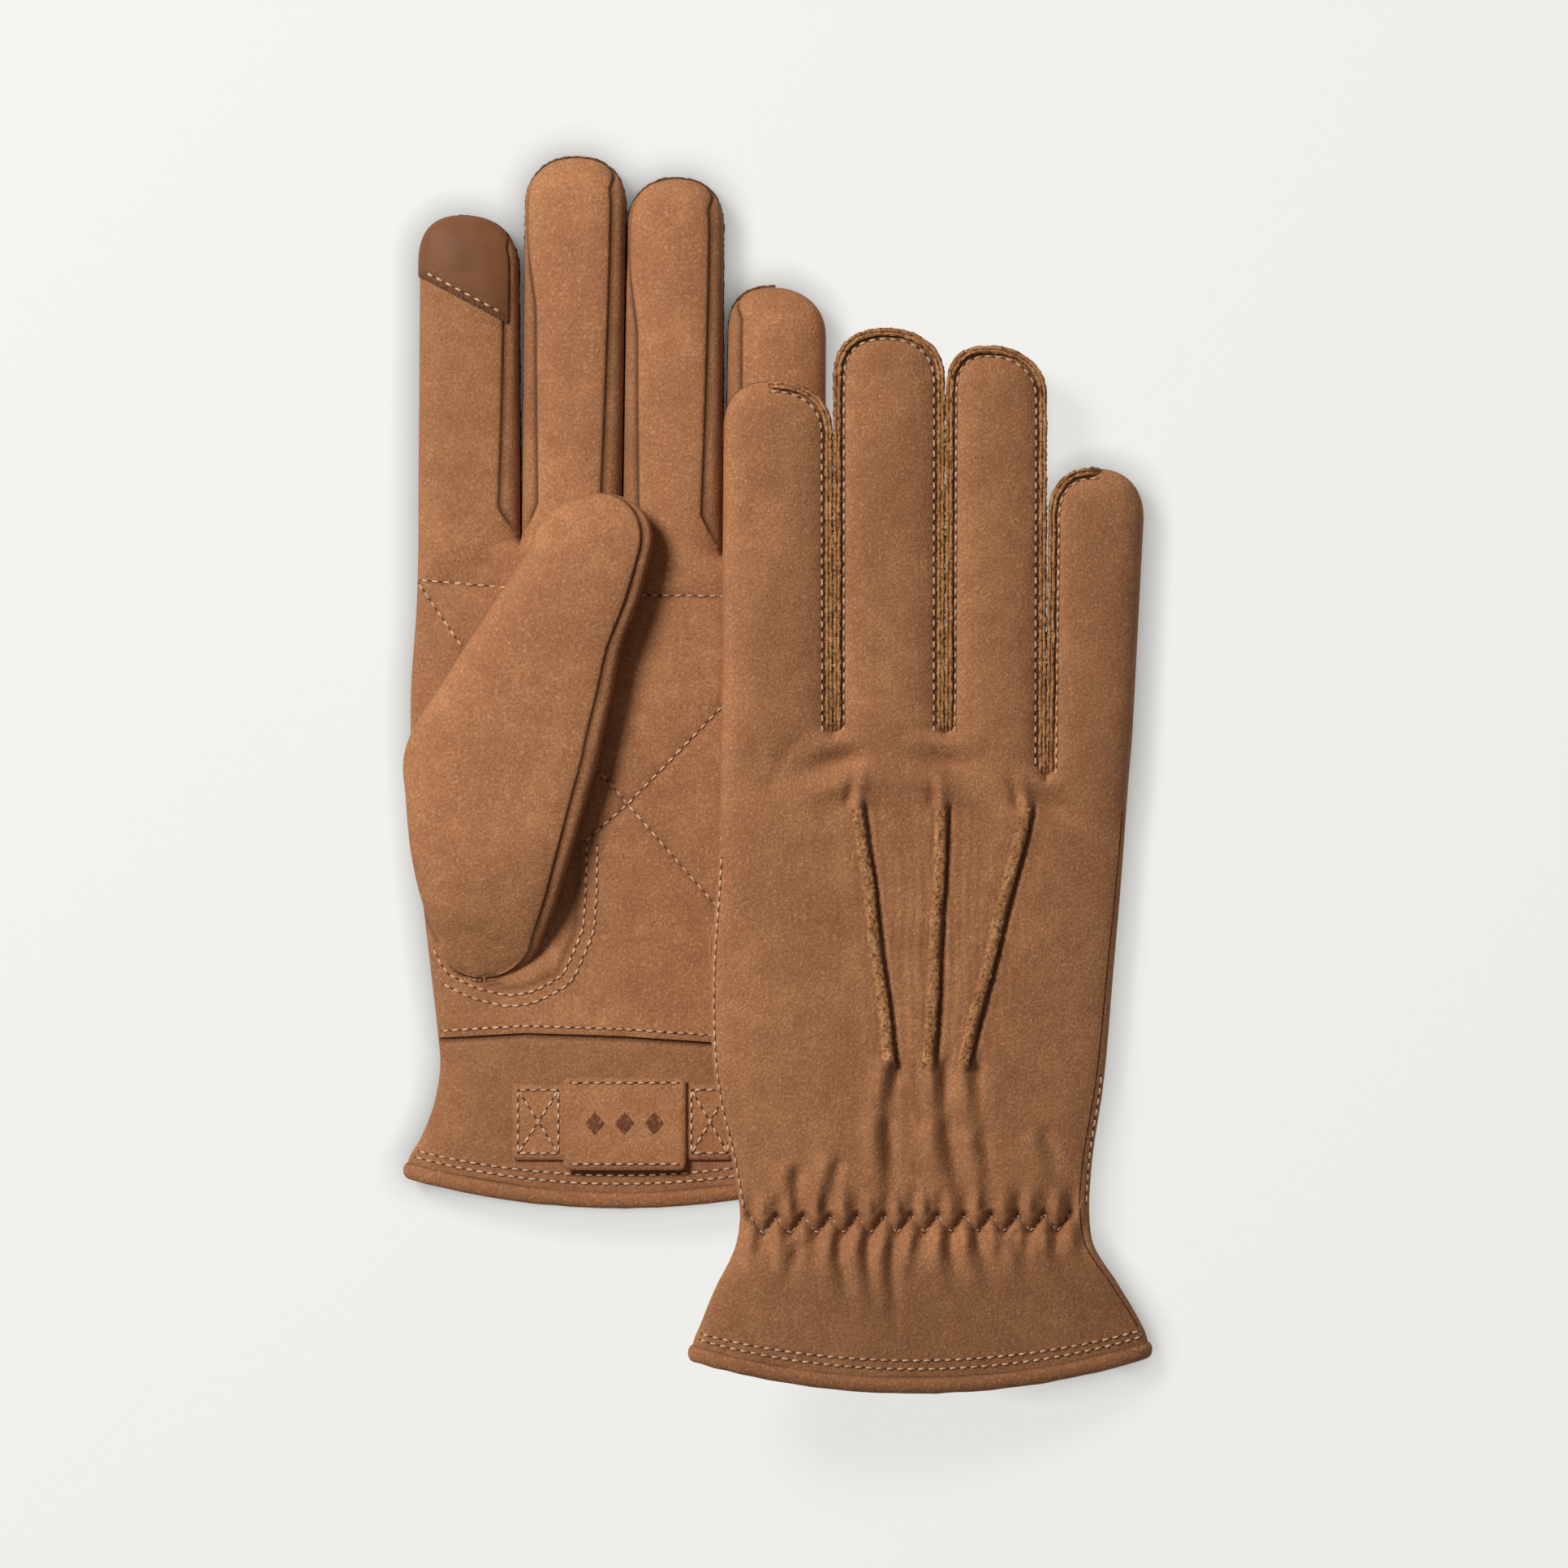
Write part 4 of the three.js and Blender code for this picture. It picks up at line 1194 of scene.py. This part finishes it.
def build_patch(glove):
    """A shell of smooth leather over the palm side of the index fingertip, cut on a slant."""
    tip = SHAPES[glove.side]["index"]["tip"]
    palm_seam, _ = seam_angles(glove, "index")
    (x0, y0), (x1, y1) = [(x, tip - below) for x, below in PATCH_LINE]

    def line(x):
        return y0 + (y1 - y0) * (x - x0) / (x1 - x0)
    shares = np.linspace(0.6, 2, 110)
    grid = finger_grid(glove, "index", lambda y, v: spread(palm_seam(y, v), 188, 40), shares)
    columns = []
    for column in grid.transpose(1, 0, 2):
        above = column[:, 1] - line(column[:, 0])
        first = int(np.argmax(above > 0))
        share = -above[first - 1] / (above[first] - above[first - 1])
        start = column[first - 1] + share * (column[first] - column[first - 1])
        columns.append(resample(np.concatenate([[start], column[first:]]), 0.9)[:PATCH_ROWS * 3])
    down = np.linspace(0, 1, min(PATCH_ROWS, max(len(column) for column in columns)))
    outer = np.array([[np.interp(down, np.linspace(0, 1, len(column)), column[:, k]) for k in range(3)]
                      for column in columns]).transpose(2, 0, 1)
    normals = grid_normals(outer)
    if np.sum(normals[..., 2]) < 0:
        normals = -normals
    from_edge = np.linalg.norm(outer - outer[:1], axis=-1)
    outer = outer + normals * (PATCH_RISE[glove.side] * ease(from_edge / 0.5 + 0.45))[..., None]
    # the value passed as painted shade is high towards the cut edge, which comes out darker and crackled
    # there; the patch's turned-away sides also get painted shade
    add(glove, "index", "touch_tip", sheet(outer, UP, 0.9), "touch", both_faces(np.exp(-from_edge / 3.5)),
        ["touch_patch"])
    surface = raised(finger_face(glove, "index", True), PATCH_RISE[glove.side])
    x = np.linspace(x0 + 1.2, x1 - 0.4, 40)
    sew(glove, "index", "touch", [(surface, np.stack([x, line(x) + 1.9], -1), True)])


# ---- seams: a painted shadow strip with its stitches on it ----

def painted_shadow_strip(points, normals, width, rise=0.07):
    """(points, faces) of a thin dark strip along a path on a surface: a painted shadow along a seam or an
    edge.
    """
    along = np.gradient(points, axis=0)
    side = np.cross(normals, along)
    side /= np.linalg.norm(side, axis=1, keepdims=True)
    rows = [points + side * width / 2 * share + normals * lift
            for share, lift in ((-1, -0.05), (-0.4, rise), (0.4, rise), (1, -0.05))]
    grid = np.array(rows).transpose(1, 0, 2)
    return sheet(grid, np.repeat(normals[:, None], 4, 1), 0.25)


def sew(glove, part, label, rows, width=0.62, **sizes):
    """Stitches and the painted shadow strips under them for several rows: (surface, plan path, palm side)."""
    threads, painted_shadows = [], []
    for surface, plan, palm in rows:
        points, normals = surface_path(surface, plan)
        normals = normals if palm else -normals
        threads.append(stitches(points, normals, **sizes))
        painted_shadows.append(painted_shadow_strip(points, normals, width))
    for name, parts, look in (("stitches", threads, "thread"), ("painted_shadows", painted_shadows, "painted_shade")):
        add(glove, part, f"{label}_{name}", joined(parts), look)


# ---- materials ----

def linear(red, green, blue):
    """A screen colour, 0 to 255, as the shader's linear colour."""
    values = [channel / 255 for channel in (red, green, blue)]
    return tuple(v / 12.92 if v <= 0.04045 else ((v + 0.055) / 1.055) ** 2.4 for v in values) + (1.0,)


class Look:
    """Builds a material's nodes. Texture sizes are in millimetres of the glove's own surface."""

    def __init__(self, name):
        self.material = bpy.data.materials.new(name)
        self.material.use_nodes = True
        self.nodes = self.material.node_tree.nodes
        self.links = self.material.node_tree.links
        self.shader = self.nodes["Principled BSDF"]
        self.place = self.read("rest", "Vector")
        # painted shade that the mesh carries, from 0 to 1
        self.painted_shade = self.read("painted_shade", "Fac")

    def read(self, attribute, output):
        node = self.nodes.new("ShaderNodeAttribute")
        node.attribute_name = attribute
        return node.outputs[output]

    def noise(self, size, detail=3.0, roughness=0.55, low=0.35, high=0.65, stretch=(1, 1, 1)):
        """Noise with features of a size, spread to run from 0 to 1 between low and high."""
        place = self.place
        if stretch != (1, 1, 1):
            scaled = self.nodes.new("ShaderNodeVectorMath")
            scaled.operation = "MULTIPLY"
            scaled.inputs[1].default_value = stretch
            self.links.new(place, scaled.inputs[0])
            place = scaled.outputs[0]
        node = self.nodes.new("ShaderNodeTexNoise")
        node.inputs["Scale"].default_value = 1 / (size * MM)
        node.inputs["Detail"].default_value = detail
        node.inputs["Roughness"].default_value = roughness
        self.links.new(place, node.inputs["Vector"])
        return self.span(node.outputs["Fac"], low, high)

    def cells(self, size, low, high):
        """Distance to the edges of cells of a size, spread to run from 0 to 1."""
        node = self.nodes.new("ShaderNodeTexVoronoi")
        node.feature = "DISTANCE_TO_EDGE"
        node.inputs["Scale"].default_value = 1 / (size * MM)
        self.links.new(self.place, node.inputs["Vector"])
        return self.span(node.outputs["Distance"], low, high)

    def ribs(self, pitch, direction):
        node = self.nodes.new("ShaderNodeTexWave")
        node.bands_direction = direction
        node.inputs["Scale"].default_value = 1 / (pitch * MM) / 3.2
        node.inputs["Distortion"].default_value = 0.6
        self.links.new(self.place, node.inputs["Vector"])
        return node.outputs["Fac"]

    def span(self, value, low, high, first=0.0, last=1.0):
        node = self.nodes.new("ShaderNodeMapRange")
        for name, number in (("From Min", low), ("From Max", high), ("To Min", first), ("To Max", last)):
            node.inputs[name].default_value = number
        self.links.new(value, node.inputs["Value"])
        return node.outputs["Result"]

    def times(self, a, b):
        node = self.nodes.new("ShaderNodeMath")
        node.operation = "MULTIPLY"
        self.links.new(a, node.inputs[0])
        if isinstance(b, (int, float)):
            node.inputs[1].default_value = b
        else:
            self.links.new(b, node.inputs[1])
        return node.outputs[0]

    def mix(self, share, a, b):
        node = self.nodes.new("ShaderNodeMix")
        node.data_type = "RGBA"
        self.links.new(share, node.inputs[0])
        for socket, colour in ((node.inputs[6], a), (node.inputs[7], b)):
            if isinstance(colour, tuple):
                socket.default_value = colour
            else:
                self.links.new(colour, socket)
        return node.outputs[2]

    def bumps(self, *heights):
        """Bumps in a chain: (height, strength, depth in millimetres)."""
        normal = None
        for height, strength, depth in heights:
            node = self.nodes.new("ShaderNodeBump")
            node.inputs["Strength"].default_value = strength
            node.inputs["Distance"].default_value = depth * MM
            self.links.new(height, node.inputs["Height"])
            if normal:
                self.links.new(normal, node.inputs["Normal"])
            normal = node.outputs["Normal"]
        self.links.new(normal, self.shader.inputs["Normal"])

    def finish(self, colour, roughness, **constants):
        self.links.new(colour, self.shader.inputs["Base Color"])
        if isinstance(roughness, float):
            self.shader.inputs["Roughness"].default_value = roughness
        else:
            self.links.new(roughness, self.shader.inputs["Roughness"])
        for name, value in constants.items():
            self.shader.inputs[name.replace("_", " ")].default_value = value
        return self.material


def nubuck(name, light, dark, deep):
    """Napped leather: cloudy shades, a fine nap with pale specks, faint wrinkles, and the painted shade that
    the mesh carries.
    """
    look = Look(name)
    clouds = look.noise(26, 2.5, 0.5, 0.36, 0.64)
    rubbed = look.noise(6, 3, 0.6, 0.34, 0.68)
    nap = look.noise(0.6, 2, 0.7, 0.36, 0.64)
    specks = look.noise(0.8, 2, 0.6, 0.56, 0.70)
    streaks = look.noise(2.2, 3, 0.6, 0.42, 0.62, (1, 0.28, 1))
    colour = look.mix(look.span(clouds, 0, 1, 0.42, 0.95), dark, light)
    colour = look.mix(look.times(rubbed, 0.55), colour, dark)
    colour = look.mix(look.times(nap, 0.56), colour, deep)
    colour = look.mix(look.times(specks, 0.38), colour, linear(214, 166, 128))
    # painted shade in creases and seams, and on sides that turn away from the light
    colour = look.mix(look.times(look.painted_shade, 0.82), colour, linear(52, 27, 13))
    look.bumps((nap, 0.55, 0.12), (streaks, 0.2, 0.14), (rubbed, 0.3, 0.3))
    roughness = look.span(clouds, 0, 1, 0.78, 0.9)
    return look.finish(colour, roughness, Specular_IOR_Level=0.22, Sheen_Weight=0.16, Sheen_Roughness=0.5,
                       Sheen_Tint=linear(222, 180, 145))


def raw_leather(name):
    """The cut edge of the hide: golden, fibrous and speckled, with the painted shade that the mesh carries.
    """
    look = Look(name)
    fibre = look.noise(0.9, 4, 0.7, 0.36, 0.64)
    patchy = look.noise(5, 3, 0.6, 0.35, 0.7)
    dots = look.noise(0.95, 2, 0.6, 0.50, 0.64)
    colour = look.mix(patchy, linear(216, 160, 108), linear(184, 124, 78))
    colour = look.mix(look.times(fibre, 0.4), colour, linear(124, 74, 42))
    colour = look.mix(look.times(dots, 0.7), colour, linear(98, 56, 32))
    # painted shade low in the grooves and down the sides
    colour = look.mix(look.times(look.painted_shade, 0.85), colour, linear(50, 27, 13))
    look.bumps((fibre, 0.8, 0.25), (dots, 0.5, 0.15))
    return look.finish(colour, 0.95, Specular_IOR_Level=0.15)


def touch_leather(name):
    """Smooth finished leather, crackled where it is drawn over the seam."""
    look = Look(name)
    clouds = look.noise(9, 3, 0.55, 0.35, 0.68)
    pores = look.noise(0.7, 2, 0.5, 0.4, 0.62)
    crackle = look.cells(1.5, 0.0, 0.12)
    colour = look.mix(clouds, linear(112, 69, 42), linear(126, 80, 49))
    # painted shade on the sides that turn away from the light; the same value, high towards the patch's cut
    # edge, darkens the leather there and places the crackle
    colour = look.mix(look.times(look.painted_shade, 0.35), colour, linear(66, 38, 26))
    worn = look.span(look.painted_shade, 0.15, 0.8)
    dull = look.times(worn, look.span(crackle, 0, 1, 1, 0))
    colour = look.mix(look.times(dull, 0.55), colour, linear(60, 34, 22))
    look.bumps((look.times(look.span(crackle, 0, 1, 0.2, 1), worn), 0.6, 0.25), (pores, 0.14, 0.08))
    return look.finish(colour, look.span(clouds, 0, 1, 0.58, 0.7), Specular_IOR_Level=0.22)


def thread(name):
    look = Look(name)
    fuzz = look.noise(0.5, 2, 0.6, 0.35, 0.65)
    shade = look.noise(12, 2, 0.5, 0.35, 0.65)
    colour = look.mix(shade, linear(232, 192, 158), linear(206, 160, 128))
    colour = look.mix(look.times(fuzz, 0.35), colour, linear(132, 88, 60))
    look.bumps((fuzz, 0.6, 0.1))
    return look.finish(colour, 0.62, Specular_IOR_Level=0.35, Sheen_Weight=0.2)


# Dark strips along seams and edges: a painted shadow.
def painted_shadow_leather(name):
    look = Look(name)
    broken = look.noise(1.3, 3, 0.6, 0.38, 0.66)
    colour = look.mix(broken, linear(70, 39, 21), linear(116, 72, 45))
    look.bumps((broken, 0.5, 0.15))
    return look.finish(colour, 0.92, Specular_IOR_Level=0.15)


def knit(name):
    look = Look(name)
    courses = look.ribs(1.1, "Y")
    fluff = look.noise(0.9, 4, 0.7, 0.35, 0.65)
    colour = look.mix(fluff, linear(98, 68, 50), linear(140, 104, 80))
    colour = look.mix(look.times(courses, 0.3), colour, linear(70, 46, 33))
    look.bumps((courses, 0.5, 0.3), (fluff, 0.7, 0.3))
    return look.finish(colour, 0.95, Specular_IOR_Level=0.12, Sheen_Weight=0.35)


def elastic_tape(name):
    look = Look(name)
    cords = look.ribs(0.9, "Y")
    colour = look.mix(cords, linear(196, 182, 164), linear(226, 216, 200))
    look.bumps((cords, 0.6, 0.25))
    return look.finish(colour, 0.85)


def cloudy(look, colour):
    """A colour that changes by one step in wide clouds."""
    cloud = look.noise(400, 1, 0.5, 0.2, 0.8)
    return look.mix(cloud, linear(*colour), linear(*[channel - 1 for channel in colour]))


def backdrop_paint(name):
    look = Look(name)
    look.links.new(cloudy(look, BACKDROP_GLOW), look.shader.inputs["Emission Color"])
    return look.finish(cloudy(look, BACKDROP_COLOUR), 0.95, Specular_IOR_Level=0.0, Emission_Strength=1.0)


def floor_paint(name):
    look = Look(name)
    # a painted contact shadow: the floor's glow fades close to whatever stands on it
    contact_shadow = look.nodes.new("ShaderNodeAmbientOcclusion")
    contact_shadow.samples = 8
    contact_shadow.inputs["Distance"].default_value = CONTACT_SHADOW_REACH * MM
    glow = look.mix(contact_shadow.outputs["AO"], (0.0, 0.0, 0.0, 1.0), linear(*FLOOR_GLOW))
    look.links.new(glow, look.shader.inputs["Emission Color"])
    return look.finish(cloudy(look, FLOOR_COLOUR), 0.95, Specular_IOR_Level=0.0, Emission_Strength=1.0)


# ---- camera, light and floor ----

def make_camera():
    low, high = cad_bounds
    camera = bpy.data.objects.new("camera", bpy.data.cameras.new("camera"))
    bpy.context.collection.objects.link(camera)
    camera.data.lens = LENS
    camera.data.sensor_width = SENSOR
    aim = Vector(((low.x + high.x) / 2 + AIM[0] * MM, (low.y + high.y) / 2 + AIM[1] * MM, AIM_HEIGHT * MM))
    camera.location = aim + Vector((0, 0, VIEW_WIDTH * MM * LENS / SENSOR))
    camera.data.clip_start = 0.05
    camera.data.clip_end = 20
    bpy.context.scene.camera = camera


def area_light(name, place, size, power):
    """A round light that points at the origin."""
    data = bpy.data.lights.new(name, "AREA")
    data.shape = "DISK"
    data.size = size
    data.energy = power
    light = bpy.data.objects.new(name, data)
    light.location = place
    light.rotation_euler = (-Vector(place)).to_track_quat("-Z", "Y").to_euler()
    bpy.context.collection.objects.link(light)


def stage_object(name, points, faces, material):
    mesh = bpy.data.meshes.new(name)
    mesh.from_pydata(points, [], faces)
    mesh.attributes.new("rest", "FLOAT_VECTOR", "POINT").data.foreach_set("vector", np.ravel(points))
    mesh.materials.append(material)
    piece = bpy.data.objects.new(name, mesh)
    bpy.context.collection.objects.link(piece)
    return piece


def make_dome(looks):
    """A pale dome behind the floor. It is seen, but gives no light and casts no shadow."""
    turns = ring_angles(64)
    points = []
    for rise in np.radians(np.linspace(-4, 89, 24)):
        points += [(DOME * math.cos(rise) * math.cos(turn), DOME * math.cos(rise) * math.sin(turn),
                    DOME * math.sin(rise)) for turn in turns]
    dome = stage_object("dome", points, grid_faces(24, len(turns), closed=True), looks["backdrop"])
    dome.visible_diffuse = False
    dome.visible_glossy = False
    dome.visible_shadow = False


def make_studio(looks):
    half = FLOOR_SIZE / 2
    low = -FLOOR_GAP * MM
    corners = [(-half, -half, low), (half, -half, low), (half, half, low), (-half, half, low)]
    stage_object("floor", corners, [(0, 1, 2, 3)], looks["floor"])
    make_dome(looks)
    area_light("key", KEY_PLACE, KEY_SIZE, KEY_POWER)
    area_light("overhead", OVERHEAD_PLACE, OVERHEAD_SIZE, OVERHEAD_POWER)
    world = bpy.data.worlds.new("studio")
    world.use_nodes = True
    background = world.node_tree.nodes["Background"]
    background.inputs["Color"].default_value = AMBIENT_COLOUR
    background.inputs["Strength"].default_value = AMBIENT
    bpy.context.scene.world = world
    bpy.context.scene.view_settings.view_transform = "Standard"


# ---- the scene ----

make_camera()
looks = {
    "nubuck": nubuck("nubuck", linear(194, 136, 91), linear(154, 100, 65), linear(122, 76, 46)),
    "hem": nubuck("hem_nubuck", linear(176, 120, 80), linear(150, 97, 62), linear(118, 73, 44)),
    "pressed": nubuck("pressed_mark", linear(122, 76, 48), linear(104, 63, 39), linear(78, 45, 27)),
    "raw": raw_leather("raw_edge"),
    "touch": touch_leather("touch_leather"),
    "thread": thread("thread"),
    "painted_shade": painted_shadow_leather("seam_painted_shadow"),
    "knit": knit("lining_knit"),
    "elastic": elastic_tape("elastic_tape"),
    "floor": floor_paint("floor_paint"),
    "backdrop": backdrop_paint("backdrop_paint"),
}
make_studio(looks)
for side in ("left", "right"):
    glove = Glove(side, looks)
    build_hand(glove)
    build_thumb(glove)
    build_strap(glove)
    for finger in FINGERS:
        build_finger(glove, finger)
    build_patch(glove)
